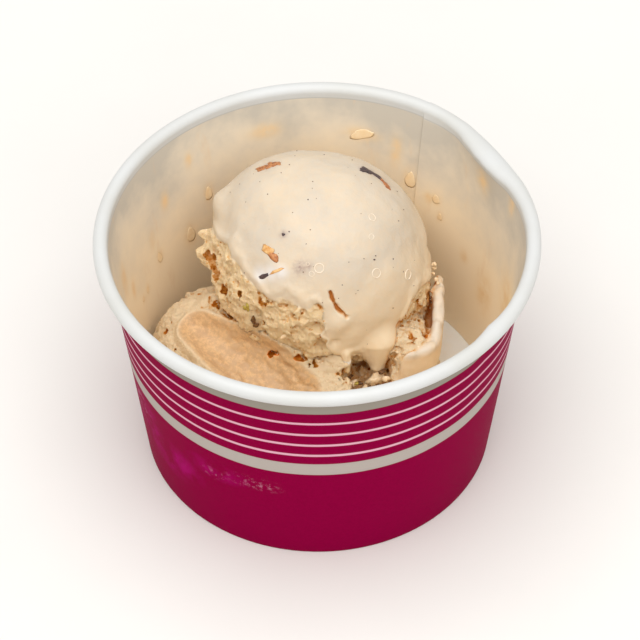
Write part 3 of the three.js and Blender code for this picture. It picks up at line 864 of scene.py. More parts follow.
def crack(x, y, z, unit):
    """Depth of the crack in the skin, a line of directions on the ball."""
    deep, sway = 0, 0.16 * noise(x, y, z, 1.3, 27) + 0.12 * noise(x, y, z, 0.7, 28)
    ragged = 1 + 0.55 * noise(x, y, z, 0.9, 29)
    spots = [direction(*spot) for spot in CRACK]
    for a, b in zip(spots, spots[1:]):
        away = capsule(*unit, a, b, 0) * BALL_RADIUS + sway
        deep = np.maximum(deep, 1 - (away / (CRACK_HALF_WIDTH * ragged)) ** 2)
    return CRACK_DEPTH * deep


def hollows(x, y, z):
    """Distance to the larger torn holes, each a short worm with a ragged wall."""
    ragged = 0.45 * noise(x, y, z, 1.2, 35) + 0.25 * noise(x, y, z, 0.7, 36)
    return np.min([capsule(x, y, z, *hole) for hole in TORN_HOLES], 0) + ragged


def upper_scoop(x, y, z):
    reach, unit = about_ball(x, y, z)
    below = torn_share(x, y, z)
    torn = smooth_step(below / SKIN_STEP)
    radius = BALL_RADIUS + sum(bump_at(unit, *swelling) for swelling in SWELLINGS)
    radius = radius - sum(bump_at(unit, *pit) for pit in PITS) - crack(x, y, z, unit)
    lip = LIP_HEIGHT * np.exp(-((below + LIP_WIDTH) / LIP_WIDTH) ** 2) + layers(x, y, z, SKIN_WAVES)
    rough = layers(x, y, z, BALL_CRAGS) + flakes(x, y, z, BALL_FLAKES)
    radius = radius + lip * (1 - torn) - torn * (SKIN_DEPTH - rough)
    d = carve(reach - radius, BALL_FLAT - z, BALL_FLAT_ROUND)
    d = join(d, capsule(x, y, z, *TONGUE_TIP), TONGUE_BLEND)
    d = join(d, capsule(x, y, z, *THIN_DRIP) + 0.2 * noise(x, y, z, 0.9, 37), DRIP_BLEND)
    return carve(d, -hollows(x, y, z), HOLE_BLEND)


# %% [markdown]
# ## The lower scoop's form
# The lower scoop is pressed against the wall on the left. The scraper left a smooth channel in
# it, and a thin sheet that curls up on the right beside the upper scoop, with a torn heap, a
# deep slit and a crease between the two. Rounded masses are joined, the channel, a hollow full
# of crumbs and the slit are carved out, and the upper scoop's seat is cut away. The channel's
# wrinkles are drawn out along the scraper's way: the same noise, read on shortened steps.

# %% Sizes of the lower scoop
CORE = ((1, 4, 10), (26, 24, 21.5))
LEFT_MASS = ((-19.5, 5, 13), (19.5, 18.5, 17))
RIGHT_MASS = ((17.0, 4.5, 12.2), (9.4, 12, 18.5))
CREST = ((-9, -2, 27), (9, 6, 5.5))
TORN_HEAP = ((20.2, -1.4, 25.6), (5.6, 7.2, 6.6))
SLIT_BACK = ((22.8, 11.0, 21.5), (3.2, 5.5, 8.5))
MASSES = [(LEFT_MASS, 4), (RIGHT_MASS, 3), (CREST, 3), (TORN_HEAP, 2), (SLIT_BACK, 2)]
SLIT = ((24.3, 4.6, 31.0), (0.8, 4.6, 4.2))
CREASE = ((17.9, -7.4, 31.0), (16.6, -9.8, 21.5), 0.35, 0.3)
CRUMB_HOLLOW, HOLLOW_BLEND = ((10.8, -8.0, 23.0), (5.8, 7.0, 8.0)), 0.6
HOLLOW_WALL = [(3.4, 1.5, 75), (1.6, 0.9, 76), (0.8, 0.4, 79)]
SCRAPE, SCRAPE_BLEND = ((-27.5, 2.2, 30.5), (-6.5, -17.0, 28.4), 3.8, 8.2), 0.7
LOWER_CRAGS = [(6.0, 0.9, 11), (2.6, 0.6, 12)]
LOWER_FLAKES = [(2.8, 0.8, 17), (1.4, 0.6, 18), (0.85, 0.4, 19)]
LOWER_SHRINK, HEAP_ROUGH = 0.4, 0.7
SCRAPE_RIM, SCRAPE_RIM_WIDTH = 1.2, 1.5
WRINKLES = [(2.0, 0.32, 71), (1.1, 0.24, 72), (0.7, 0.16, 78)]
SCRAPED_ALONG, SCRAPED_STRETCH = (0.74, -0.67, -0.08), 0.55
CURL_CENTRE, CURL_THICKNESS, CURL_FROM, CURL_TO, CURL_FOOT = (-2.6, 8.0), 2.6, -39.5, 12.5, 7.2
CURL_RAGGED = [(3.0, 0.35, 73), (1.3, 0.3, 74)]
CURL_ANGLE = [-39, -35, -31, -28, -25, -20, -14, -2, 12]
CURL_RADIUS = [26.9, 28.3, 29.6, 30.4, 30.6, 30.3, 29.7, 29.2, 30.1]
CURL_TOP = [31.2, 31.3, 31.4, 31.4, 31.4, 31.6, 32.0, 33.0, 33.6]
CURL_LEAN, CURL_LEAN_FROM, CURL_LEAN_OVER = 3.2, 27, 16
CURL_THIN_END = ([-39, -30], [0.6, 1])
CURL_ROUND = 1.5
CURL_SMOOTH, CURL_CLEAN, CURL_FROST_FROM = 2.0, 1.2, 28
MELTED_TOGETHER = 2.6
WALL_GAP, SEAT_GAP = 0.1, 0.02


def curl(x, y, z):
    """Distance to the sheet that stands up on the right: a bent, leaning wall."""
    dx, dy = x - CURL_CENTRE[0], y - CURL_CENTRE[1]
    angle, radius = np.degrees(np.arctan2(dy, dx)), np.hypot(dx, dy)
    ragged = 0.5 * noise(angle / 4, 0 * angle, 0 * angle, 1, 21)
    top = np.interp(angle, CURL_ANGLE, CURL_TOP) + ragged
    up = np.clip((z - CURL_FOOT) / (top - CURL_FOOT), 0, 1)
    thickness = CURL_THICKNESS * (1 - 0.15 * up**4) * np.interp(angle, *CURL_THIN_END)
    lean = CURL_LEAN * smooth_step((CURL_LEAN_FROM - z) / CURL_LEAN_OVER)
    sheet = np.abs(radius + lean - np.interp(angle, CURL_ANGLE, CURL_RADIUS)) - thickness / 2
    middle, half = (CURL_FROM + CURL_TO) / 2, (CURL_TO - CURL_FROM) / 2
    sheet = carve(sheet, z - top, CURL_ROUND)
    return carve(sheet, (np.abs(angle - middle) - half) * 0.5, CURL_ROUND)


def scrape_distance(x, y, z):
    return capsule(x, y, z, *SCRAPE)


def crumb_hollow(x, y, z):
    return ellipsoid(x, y, z, *CRUMB_HOLLOW) + layers(x, y, z, HOLLOW_WALL)


def lower_scoop(x, y, z, upper=None):
    upper = upper_scoop(x, y, z) if upper is None else upper
    d = ellipsoid(x, y, z, *CORE)
    for mass, blend in MASSES:
        d = join(d, ellipsoid(x, y, z, *mass), blend)
    scrape, sheet = scrape_distance(x, y, z), curl(x, y, z)
    rim = SCRAPE_RIM * np.exp(-((scrape - 0.8) / SCRAPE_RIM_WIDTH) ** 2) * smooth_step((-2 - x) / 9)
    rough = smooth_step((scrape - 1.5) / 2) * smooth_step(sheet / CURL_CLEAN)
    rough = rough * (1 + HEAP_ROUGH * smooth_step((1.5 - ellipsoid(x, y, z, *TORN_HEAP)) / 2))
    d = d + LOWER_SHRINK - rough * layers(x, y, z, LOWER_CRAGS) - rim
    d = d - rough * flakes(x, y, z, LOWER_FLAKES)
    d = join(d, upper + 0.4, MELTED_TOGETHER)
    wrinkled = 0.3 + 0.7 * smooth_step((x + 26) / 7)
    along = sum(v * a for v, a in zip((x, y, z), SCRAPED_ALONG)) * (1 - SCRAPED_STRETCH)
    drawn_out = [v - along * a for v, a in zip((x, y, z), SCRAPED_ALONG)]
    d = carve(d, -(scrape + wrinkled * layers(*drawn_out, WRINKLES)), SCRAPE_BLEND)
    d = carve(d, -np.minimum(crumb_hollow(x, y, z), hollows(x, y, z)), HOLLOW_BLEND)
    frosty = smooth_step((z - CURL_FROST_FROM) / 5)
    d = join(d, sheet + (0.2 + 0.8 * frosty) * layers(x, y, z, CURL_RAGGED), CURL_SMOOTH)
    cuts = np.minimum(ellipsoid(x, y, z, *SLIT), capsule(x, y, z, *CREASE)) + 0.25 * noise(x, y, z, 1.1, 74)
    d = carve(d, -cuts, HOLE_BLEND)
    d = np.maximum(d, np.hypot(x, y) - inner_wall(z) + WALL_GAP)
    d = np.maximum(d, FLOOR_TOP + WALL_GAP - z)
    return np.maximum(d, SEAT_GAP - upper)


def both_scoops(x, y, z):
    upper = upper_scoop(x, y, z)
    return np.minimum(upper, lower_scoop(x, y, z, upper))


# %% [markdown]
# ## Meshing the two scoops
# The grid step sets the finest detail, and is as fine as a mesh of under 200,000 triangles
# allows. Each mesh then carries numbers at its points: how torn the gelato is there, and how shut
# in the point is, in the crack, in a hole or under its neighbour. The materials read them, so
# that pits get brown painted shade and crests stay pale wherever they are.

# %% From a scoop's distance to its points, faces and shade
UPPER_STEP, LOWER_STEP = ((0.345, 0.357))
ROOM = 3.0
CRACK_SHADE, COVERED_SHADE = 1.3, 0.3
ON_SURFACE, COVER_LOOK, COVER_GAP = 0.3, 0.15, 0.03
HOLE_RIM_SHADE, HOLE_DEPTH_SHADE, HOLE_EDGE = 0.5, 1.0, 0.7


def scoop_mesh(distance, node, step):
    low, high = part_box(node)
    low = [v / MM - ROOM for v in low]
    high = [v / MM + ROOM for v in high]
    points, faces = zero_surface(sample(distance, low, high, step), low, step)
    points, faces = largest_shell(points, faces)
    points = relax(points, faces, distance)
    slope = gradient(distance, points)
    normals = slope / np.linalg.norm(slope, axis=1, keepdims=True)
    # How shut in each point is; the finishes turn this into painted shade.
    shut = closeness(points, normals, both_scoops)
    crack_depth = crack(*points.T, about_ball(*points.T)[1]) / CRACK_DEPTH
    on_surface = np.abs(distance(*points.T)) < ON_SURFACE
    shut = np.maximum(shut, CRACK_SHADE * np.clip(crack_depth, 0, 1) * on_surface)
    in_hole = smooth_step((HOLE_EDGE - hollows(*points.T)) / HOLE_EDGE)
    shut = np.maximum(shut, in_hole * np.clip(HOLE_RIM_SHADE + HOLE_DEPTH_SHADE * shut, 0, 1.2))
    covered = both_scoops(*(points + COVER_LOOK * normals).T) < COVER_GAP
    return points, faces, np.where(covered, COVERED_SHADE, shut)


# %% [markdown]
# ## Marks on the upper scoop
# Round a flake the melted skin is paler where it stands up as a thick, wet ridge, and duller
# where a dark bit has bled into it. Both could be painted, but a soft share about a few named
# directions is enough, and the finish turns it into colour.

# %% Mesh of the upper scoop
HALOS = [(233, 31, 2.0), (239, 34, 2.0), (245, 36, 1.6)]
BRUISES = [(35, 59, 1.3), (31, 54, 1.4), (26, 50.5, 1.3), (20, 49, 1.2), (237, 54.5, 0.8), (257, 41, 1.5),
           (262, 42, 1.0), (143, 57, 1.8)]
DRIP_WHITE_BELOW = 29


def spots_on_ball(points, table):
    """1 at each direction of the table, fading out over its radius."""
    share = np.zeros(len(points))
    for azimuth, elevation, radius in table:
        centre = np.array(BALL) + (BALL_RADIUS + 0.3) * np.array(direction(azimuth, elevation))
        share = np.maximum(share, np.exp(-((np.linalg.norm(points - centre, axis=1) / radius) ** 2)))
    return share


points, faces, shut = scoop_mesh(upper_scoop, "scoop_top", UPPER_STEP)
torn = smooth_step(torn_share(*points.T) / SKIN_STEP)
whitish = smooth_step(1.2 - capsule(*points.T, *THIN_DRIP)) * (points[:, 2] < DRIP_WHITE_BELOW)
halo, bruise = spots_on_ball(points, HALOS), spots_on_ball(points, BRUISES)
scoop_top = new_piece("upper_scoop_gelato", points, faces, attributes={
    "torn": torn, "shut": shut, "halo": halo, "bruise": bruise, "whitish": whitish})
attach(scoop_top, "root")
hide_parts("scoop_top")

# %% [markdown]
# ## The lower scoop's own numbers
# Here the scraped channel and the curl's sheet are smooth and all else is torn. The hollow in
# front gets painted shade in patches, and a thin white streak of painted highlight runs down
# from the crease.

# %% Mesh of the lower scoop
HIGHLIGHT_RUN = ((16.2, -7.0, 30.0), (16.0, -9.6, 21.5), 1.1, 0.5)
SCRAPED_WITHIN, HOLLOW_SHADE, HOLLOW_MOTTLE = 1.2, 0.55, 0.3
points, faces, shut = scoop_mesh(lower_scoop, "scoop_lower", LOWER_STEP)
scraped = smooth_step(SCRAPED_WITHIN - np.abs(scrape_distance(*points.T)))
sheet = smooth_step((CURL_CLEAN - np.abs(curl(*points.T))) / CURL_CLEAN)
smooth_part = np.maximum(scraped, sheet)
# Painted shade in the hollow in front, mottled by noise.
in_hollow = smooth_step((1.2 - crumb_hollow(*points.T)) / 1.5) * smooth_step((29 - points[:, 2]) / 3)
mottled = HOLLOW_MOTTLE * in_hollow * noise(*points.T, 1.5, 77)
shut = np.maximum(shut, HOLLOW_SHADE * in_hollow + mottled)
# A painted highlight: a thin white streak down the groove by the crease.
whitish = smooth_step(1 - (capsule(*points.T, *HIGHLIGHT_RUN) + 0.2 * noise(*points.T, 1.0, 79)) / 0.6)
scoop_lower = new_piece("lower_scoop_gelato", points, faces, attributes={
    "torn": 1 - smooth_part, "shut": shut, "sheet": sheet, "whitish": whitish})
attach(scoop_lower, "root")
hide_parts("scoop_lower")

# %% [markdown]
# ## Gelato finishes
# Melting gelato is pale cream, glossy where its skin is wet, and light goes some way into it.
# Down in the holes the light comes back browner each time it bounces. Here that is painted
# shade: the shut-in places are painted caramel to dark brown, and are less glossy, and dells,
# pinholes and low-lying parts get painted shade too. The torn parts and the smooth skin each get
# their colour first, and the attribute torn mixes the two. Both scoops share one recipe, with
# their own colours. Fine crumb is a bump here, because it is smaller than the mesh's faces.

# %% Gelato recipe
PINHOLE_SPACING, CRUMB_SPACING = 1.3, 0.9
LOW_DOWN_SHADE, SKIN_PAINTED_LIGHT, FROSTED = (29, 21), (30, 52), (29.5, 31)
MELT_DEPTH, MELT_REACH = 0.6, (1.0, 0.9, 0.8)
FROSTED_EDGE, HALO_COLOR = screen(220, 207, 190), screen(226, 222, 220)
BRUISE_COLOR, WHITE_MELT_AND_HIGHLIGHT = screen(150, 124, 118), screen(250, 242, 234)


def torn_color(recipe, shut, crumbly, crest, middle, deep, deepest, shade_from):
    """Pale on crests, through warm cream, to brown painted shade in dells, pinholes, shut-in and low
    places.
    """
    # Painted shade in the dells of the crumbly bump.
    dells = recipe.math("ADD", recipe.span(crumbly, 0.62, 0.38, -0.08, 0.1),
                        recipe.span(recipe.noise(4, 3), 0.5, 0.7, 0, 0.12))
    shade = recipe.math("ADD", recipe.span(shut, shade_from, 1, 0, 0.85), dells)
    # Painted shade on the lower parts, darker the lower they sit.
    low_down_shade = recipe.span(recipe.height(), LOW_DOWN_SHADE[0] * MM, LOW_DOWN_SHADE[1] * MM, 0, 0.16)
    shade = recipe.math("ADD", shade, low_down_shade)
    # Pinholes as dots of painted shade.
    pinholes = recipe.math("MULTIPLY", recipe.span(recipe.pores(PINHOLE_SPACING), 0.26, 0.14),
                           recipe.span(recipe.noise(3, 2), 0.42, 0.55))
    shade = recipe.math("ADD", shade, recipe.math("MULTIPLY", pinholes, 0.3))
    return recipe.ramp(shade, [(0.0, crest), (0.22, crest), (0.5, middle), (0.8, deep), (1.0, deepest)])


def melted_color(recipe, shut, skin, skin_low, sheet_color, crest, middle, slit, streaks):
    """The smooth skin: clouded, streaked, painted light by height and painted shade where shut in; halos,
    bruises, runs and a painted highlight.
    """
    cloudy, streaky = recipe.noise(7, 3), recipe.noise(1.4, 5, 0.75)
    sheet = recipe.attribute("sheet")
    # Painted light: the skin is darker on top, where most light falls, and lighter and warmer low down.
    color = recipe.mix(recipe.span(recipe.height(), SKIN_PAINTED_LIGHT[0] * MM, SKIN_PAINTED_LIGHT[1] * MM), skin_low, skin)
    color = recipe.mix(recipe.span(cloudy, 0.35, 0.7, 0, 0.2), color, crest)
    frosted = recipe.span(recipe.height(), FROSTED[0] * MM, FROSTED[1] * MM)
    color = recipe.mix(sheet, color, recipe.mix(frosted, sheet_color, FROSTED_EDGE))
    streak_share = recipe.math("MULTIPLY", recipe.span(streaky, 0.45, 0.6, 0, streaks),
                               recipe.span(sheet, 0, 1, 1, 0.15))
    color = recipe.mix(streak_share, color, middle)
    # Painted shade where the skin is shut in: towards middle, then the slit colour.
    color = recipe.mix(recipe.span(shut, 0.3, 0.7, 0, 0.7), color, middle)
    color = recipe.mix(recipe.span(shut, 0.6, 1.1), color, slit)
    color = recipe.mix(recipe.span(recipe.attribute("halo"), 0.1, 1, 0, 0.8), color, HALO_COLOR)
    blotchy = recipe.math("MULTIPLY", recipe.attribute("bruise"),
                          recipe.span(recipe.noise(0.8, 3), 0.35, 0.6, 0.3, 0.85))
    color = recipe.mix(blotchy, color, BRUISE_COLOR)
    # White melt on the thin drip, and a painted highlight streak on the lower scoop.
    return recipe.mix(recipe.attribute("whitish"), color, WHITE_MELT_AND_HIGHLIGHT)


def gelato(name, gloss, skin, skin_low, sheet_color, crest, middle, deep, deepest, slit, streaks,
           shade_from):
    recipe = Recipe(name)
    torn, shut = recipe.attribute("torn"), recipe.attribute("shut")
    crumbly = recipe.noise(CRUMB_SPACING, 5, 0.72)
    rough = torn_color(recipe, shut, crumbly, crest, middle, deep, deepest, shade_from)
    smooth = melted_color(recipe, shut, skin, skin_low, sheet_color, crest, middle, slit, streaks)
    soft = recipe.bump(recipe.noise(2.2, 2, 0.5), 0.12)
    grain = recipe.bump(recipe.noise(0.5, 3, 0.6), 0.03, under=soft)
    crumbs = recipe.bump(recipe.math("MULTIPLY", crumbly, torn), 0.8, under=grain)
    recipe.set(Base_Color=recipe.mix(torn, smooth, rough), Roughness=recipe.span(torn, 0, 1, gloss, 0.5),
               Normal=crumbs, Specular_IOR_Level=recipe.span(shut, 0.3, 0.8, 0.5, 0.05),
               Subsurface_Weight=0.3, Subsurface_Scale=MELT_DEPTH * MM, IOR=1.4)
    recipe.shader.inputs["Subsurface Radius"].default_value = MELT_REACH
    return recipe


# %% Finishes of the two scoops
# deep, deepest and slit are the colours of painted shade.
top_finish = gelato(
    "melting_cream", gloss=0.42, skin=screen(206, 193, 175), skin_low=screen(241, 222, 192),
    sheet_color=screen(236, 208, 170), crest=screen(248, 219, 174), middle=screen(240, 196, 138),
    deep=screen(206, 132, 50), deepest=screen(146, 72, 12), slit=screen(190, 122, 60), streaks=0.1,
    shade_from=0.08)
lower_finish = gelato(
    "scraped_cream", gloss=0.45, skin=screen(196, 162, 124), skin_low=screen(198, 161, 120),
    sheet_color=screen(243, 218, 184), crest=screen(243, 219, 183), middle=screen(236, 196, 144),
    deep=screen(206, 134, 52), deepest=screen(178, 88, 16), slit=screen(232, 128, 36), streaks=0.6,
    shade_from=0.25)
scoop_top.data.materials.append(top_finish.material)
scoop_lower.data.materials.append(lower_finish.material)
print("gelato finishes:", top_finish.material.name, lower_finish.material.name)

# %% [markdown]
# ## Bits in and on the skin
# Dark and rusty flakes and two caramel chips sit in the melted skin, half sunk. Each is a thin
# lens with a ragged outline that bends with the surface. They could be cut from a texture, but
# a real chip casts a small shadow and has its own gloss. The places are directions from the
# middle of the ball, and a short search along each direction finds the skin.

# %% Helpers to lay a thin chip on a surface
SKIN_BETWEEN, SEARCH_STEPS = (17.0, 32.0), 22


def skin_point(directions):
    """Points on the upper scoop in the given directions, and the outward normals there."""
    a, e = np.radians(directions).T
    unit = np.stack([np.cos(e) * np.cos(a), np.cos(e) * np.sin(a), np.sin(e) + 0 * a], -1).reshape(-1, 3)
    near, far = (np.full(len(unit), reach) for reach in SKIN_BETWEEN)
    for _ in range(SEARCH_STEPS):
        middle = (near + far) / 2
        outside = upper_scoop(*(np.array(BALL) + unit * middle[:, None]).T) > 0
        near, far = np.where(outside, near, middle), np.where(outside, middle, far)
    spots = np.array(BALL) + unit * near[:, None]
    slope = gradient(upper_scoop, spots, 0.6)
    return spots, slope / np.linalg.norm(slope, axis=1, keepdims=True)


def lens(seed, length, width, thickness, ragged, rings=5, around=18):
    """A flat pebble with a ragged outline about its middle: points and faces, in millimetres."""
    points, faces = [(0, 0, thickness / 2)], []
    turn = np.linspace(0, 2 * math.pi, around, endpoint=False)
    edge = 1 + ragged * noise(3 * np.cos(turn), 3 * np.sin(turn), 0 * turn, 1.1, seed)
    for ring in range(1, 2 * rings):
        upper = ring <= rings
        share = (ring if upper else 2 * rings - ring) / rings
        rise = 0.5 * thickness * math.sqrt(max(0, 1 - share**2)) * (1 if upper else -1)
        for t, e in zip(turn, edge):
            half = 0.5 * share * e
            points.append((half * length * math.cos(t), half * width * math.sin(t), rise))
    points.append((0, 0, -thickness / 2))
    last = len(points) - 1
    for k in range(around):
        m = (k + 1) % around
        faces.append((0, 1 + k, 1 + m))
        for ring in range(2 * rings - 2):
            a, b = 1 + ring * around, 1 + (ring + 1) * around
            faces.append((a + k, b + k, b + m, a + m))
        faces.append((1 + (2 * rings - 2) * around + k, last, 1 + (2 * rings - 2) * around + m))
    return np.array(points), faces


def lay(shape, spot, normal, turn, sunk):
    """Puts a pebble at a spot, flat on the surface, turned about its normal and sunk in."""
    side = np.cross((0, 0, 1) if abs(normal[2]) < 0.95 else (0, 1, 0), normal)
    side = side / np.linalg.norm(side)
    other = np.cross(normal, side)
    t = math.radians(turn)
    along = side * math.cos(t) + other * math.sin(t)
    across = other * math.cos(t) - side * math.sin(t)
    points, faces = shape
    return spot + points @ np.stack([along, across, normal]) - normal * sunk, faces


def lay_on_skin(shape, spot, normal, turn):
    """As lay, but the chip bends with the skin under it, with its middle plane on the skin."""
    points, faces = shape
    flat, _ = lay((points * (1, 1, 0), faces), spot, normal, turn, 0)
    for _ in range(3):
        slope = gradient(upper_scoop, flat, 0.3)
        flat = flat - slope * (upper_scoop(*flat.T) / np.maximum((slope**2).sum(1), 0.25))[:, None]
    facing = slope / np.linalg.norm(slope, axis=1, keepdims=True)
    return flat + facing * points[:, 2:], faces


def gathered(parts):
    """Several small shapes as one: all points and all faces."""
    points, faces = [], []
    for part_points, part_faces in parts:
        first = sum(len(p) for p in points)
        points.append(part_points)
        faces += [tuple(i + first for i in f) for f in part_faces]
    return np.concatenate(points), faces


def small_finish(name, dark, light, size_mm, roughness, depth_mm=0.03):
    """A mottled finish for the small things, between two colours."""
    finish = Recipe(name)
    mottled = finish.noise(size_mm, 4, 0.6)
    color = finish.mix(finish.span(mottled, 0.35, 0.65), dark, light)
    finish.set(Base_Color=color, Roughness=roughness, Normal=finish.bump(mottled, depth_mm))
    return finish.material


# %% Flakes and chips in the skin
FLAKES = [  # azimuth, elevation, length, width, thickness, turn, ragged
    (235, 30.5, 2.6, 1.1, 0.3, 42, 0.3), (34, 58, 4.0, 2.8, 0.3, 64, 0.5),
    (28.5, 52.5, 2.6, 1.7, 0.3, 50, 0.6), (237, 54.5, 0.8, 0.7, 0.15, 0, 0.3)]
CARAMEL = [(230.5, 44.0, 3.0, 2.2, 0.3, 20, 0.4), (241.6, 35.6, 3.4, 0.8, 0.25, 42, 0.4)]
RUSTY = [
    (237.0, 42.2, 3.0, 1.7, 0.32, -25, 0.4), (147, 54.0, 2.8, 2.2, 0.25, 125, 0.6),
    (142, 57.5, 2.6, 2.6, 0.25, 125, 0.6), (138.5, 60.5, 2.0, 2.0, 0.25, 120, 0.6),
    (18, 49, 2.2, 1.8, 0.3, -4, 0.6), (23.5, 50.5, 1.6, 1.3, 0.25, 20, 0.6)]


def chips(name, table, seed, material):
    """One piece of several chips, half sunk in the skin at the directions of a table."""
    spots, normals = skin_point([row[:2] for row in table])
    parts = []
    for i, (row, spot, normal) in enumerate(zip(table, spots, normals)):
        _, _, length, width, thickness, turn, ragged = row
        parts.append(lay_on_skin(lens(seed + i, length, width, thickness, ragged), spot, normal, turn))
    piece = new_piece(name, *gathered(parts), finishes=[material])
    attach(piece, "root")


dark_flake = small_finish("dark_flake", screen(44, 30, 34), screen(92, 70, 68), 0.6, 0.4)
caramel_chip = small_finish("caramel_chip", screen(206, 140, 66), screen(234, 194, 136), 0.9, 0.3)
rusty_flake = small_finish("rusty_flake", screen(146, 74, 30), screen(204, 140, 84), 0.7, 0.45)
chips("dark_flakes", FLAKES, 200, dark_flake)
chips("caramel_chips", CARAMEL, 220, caramel_chip)
chips("rusty_flakes", RUSTY, 240, rusty_flake)

# %% [markdown]
# ## Specks and bubbles
# Tiny dark specks are scattered over the skin, and a few air bubbles stand under it, each seen
# as a thin ring. There are many and they follow the surface, so Geometry Nodes spread them:
# points on the skin's faces, a small shape at each, turned to the surface. A dozen larger
# specks have named directions instead, because where they sit can be seen.

# %% Specks over the skin
SPECK_SEED, SPECK_DENSITY, SPECK_SIZE = 11, 0.02, 0.09
SPECK_SPREAD, TORN_UP_TO = (0.5, 1.8), 0.3
NAMED_SPECKS = [  # azimuth, elevation, half length
    (241, 57, 0.2), (259, 53, 0.15), (245, 77, 0.2), (346, 42, 0.2), (309, 38, 0.28), (322, 32, 0.2),
    (291, 42, 0.14), (302, 41, 0.14), (284, 31, 0.16), (281, 24, 0.14), (325, 22, 0.16), (293, 26, 0.14)]

scatter = Tree("scattered_specks", Density=SPECK_DENSITY / MM**2, Size=SPECK_SIZE * MM, Seed=SPECK_SEED)
torn_here = scatter.node("GeometryNodeInputNamedAttribute", {"data_type": "FLOAT"}, Name="torn")
smooth_here = scatter.node("FunctionNodeCompare", {"data_type": "FLOAT", "operation": "LESS_THAN"})
scatter.group.links.new(torn_here.outputs[0], smooth_here.inputs[0])
smooth_here.inputs[1].default_value = TORN_UP_TO
dots = scatter.node("GeometryNodeDistributePointsOnFaces", Mesh=scatter.source["Geometry"],
                    Selection=smooth_here.outputs[0], Density=scatter.source["Density"],
                    Seed=scatter.source["Seed"])
grain_shape = scatter.node("GeometryNodeMeshIcoSphere", Radius=scatter.source["Size"], Subdivisions=1)
spread = scatter.node("FunctionNodeRandomValue", {"data_type": "FLOAT"})
spread.inputs[2].default_value, spread.inputs[3].default_value = SPECK_SPREAD
placed = scatter.node("GeometryNodeInstanceOnPoints", Points=dots.outputs[0],
                      Instance=grain_shape.outputs[0], Rotation=dots.outputs["Rotation"],
                      Scale=spread.outputs[1])
dark_speck = small_finish("dark_speck", screen(54, 34, 22), screen(120, 84, 52), 0.3, 0.5)
scatter.finish(placed.outputs[0], dark_speck)
specks = scatter.grow("scattered_specks", scoop_top)
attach(specks, "root")

spots, normals = skin_point([speck[:2] for speck in NAMED_SPECKS])
parts = []
for i, ((_, _, half), spot, normal) in enumerate(zip(NAMED_SPECKS, spots, normals)):
    grit = lens(260 + i, 2 * half, 1.6 * half, half, 0.4, rings=3, around=10)
    parts.append(lay(grit, spot, normal, 40 * i, 0.02))
larger_specks = new_piece("larger_specks", *gathered(parts), finishes=[dark_flake])
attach(larger_specks, "root")

# %% Air bubbles under the skin
BUBBLES = [  # azimuth, elevation, radius
    (270, 41, 1.0), (265, 38, 0.55), (307, 31, 1.0), (328, 18, 1.1), (328, 56, 0.8), (315, 49, 0.6),
    (262, 43, 0.35)]
BUBBLE_LINE = 0.1
spots, normals = skin_point([bubble[:2] for bubble in BUBBLES])
places = seed_object("bubble_places", spots)
places.data.attributes.new("size", "FLOAT", "POINT").data.foreach_set("value", [b[2] for b in BUBBLES])
places.data.attributes.new("facing", "FLOAT_VECTOR", "POINT").data.foreach_set("vector", normals.ravel())
bubbly = Tree("bubble_rings", Line=BUBBLE_LINE * MM, Around=28)
size = bubbly.node("GeometryNodeInputNamedAttribute", {"data_type": "FLOAT"}, Name="size")
facing = bubbly.node("GeometryNodeInputNamedAttribute", {"data_type": "FLOAT_VECTOR"}, Name="facing")
circle = bubbly.node("GeometryNodeCurvePrimitiveCircle", Radius=1 * MM, Resolution=bubbly.source["Around"])
thread = bubbly.node("GeometryNodeCurvePrimitiveCircle", Radius=bubbly.source["Line"], Resolution=8)
ring = bubbly.node("GeometryNodeCurveToMesh", Curve=circle.outputs[0])
bubbly.group.links.new(thread.outputs[0], ring.inputs["Profile Curve"])
to_face = bubbly.node("FunctionNodeAlignRotationToVector", {"axis": "Z"}, Vector=facing.outputs[0])
rings_placed = bubbly.node("GeometryNodeInstanceOnPoints", Points=bubbly.source["Geometry"],
                           Instance=ring.outputs[0], Rotation=to_face.outputs[0], Scale=size.outputs[0])
bubble_film = small_finish("bubble_film", screen(236, 218, 194), screen(250, 238, 220), 0.8, 0.25)
bubbly.finish(rings_placed.outputs[0], bubble_film)
bubbles = bubbly.grow("bubble_rings", places)
bpy.data.objects.remove(places)
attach(bubbles, "root")

# %% [markdown]
# ## Dried drops on the wall
# Splashes have run down the inside of the wall and dried to flat drops, heavier at their lower
# edge. Each is a low dome with a drop's outline, laid on the cone. They are few and each has
# its own place and length, so a short function makes them one by one.

# %% Drops on the inside of the wall
DROP_LIFT = 0.6


def wall_drop(azimuth, height, width, length, thickness, turn, seed):
    """A low dome with a drop's outline on the inside of the wall, heavier at its foot."""
    points, faces = lens(seed, 1, 1, 1, 0.1, around=32)
    along, across = points[:, 0], points[:, 1]
    narrow = 1 - 0.35 * np.clip(2 * along, -1, 1)
    t = math.radians(turn)
    up = along * length * math.cos(t) - across * width * narrow * math.sin(t)
    side = along * length * math.sin(t) + across * width * narrow * math.cos(t)
    z = height + up
    angle = math.radians(azimuth) + side / inner_wall(z)
    heavy = 1.25 - 0.8 * along
    x, y = inner_wall(z) * np.cos(angle), inner_wall(z) * np.sin(angle)
    x, y, _ = shape_wall(x, y, z, np.ones(len(z), bool))
    radius = np.hypot(x, y)
    lift = DROP_LIFT * points[:, 2] * thickness * heavy
    inwards = (radius - lift) / radius
    return np.stack([x * inwards, y * inwards, z], 1), [f[::-1] for f in faces]


drop_finish = small_finish("dried_drop", screen(248, 218, 172), screen(252, 228, 190), 1.5, 0.42)
parts = [wall_drop(*row, 300 + i) for i, row in enumerate(DROPS)]
drops = new_piece("dried_drops", *gathered(parts), finishes=[drop_finish])
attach(drops, "root")

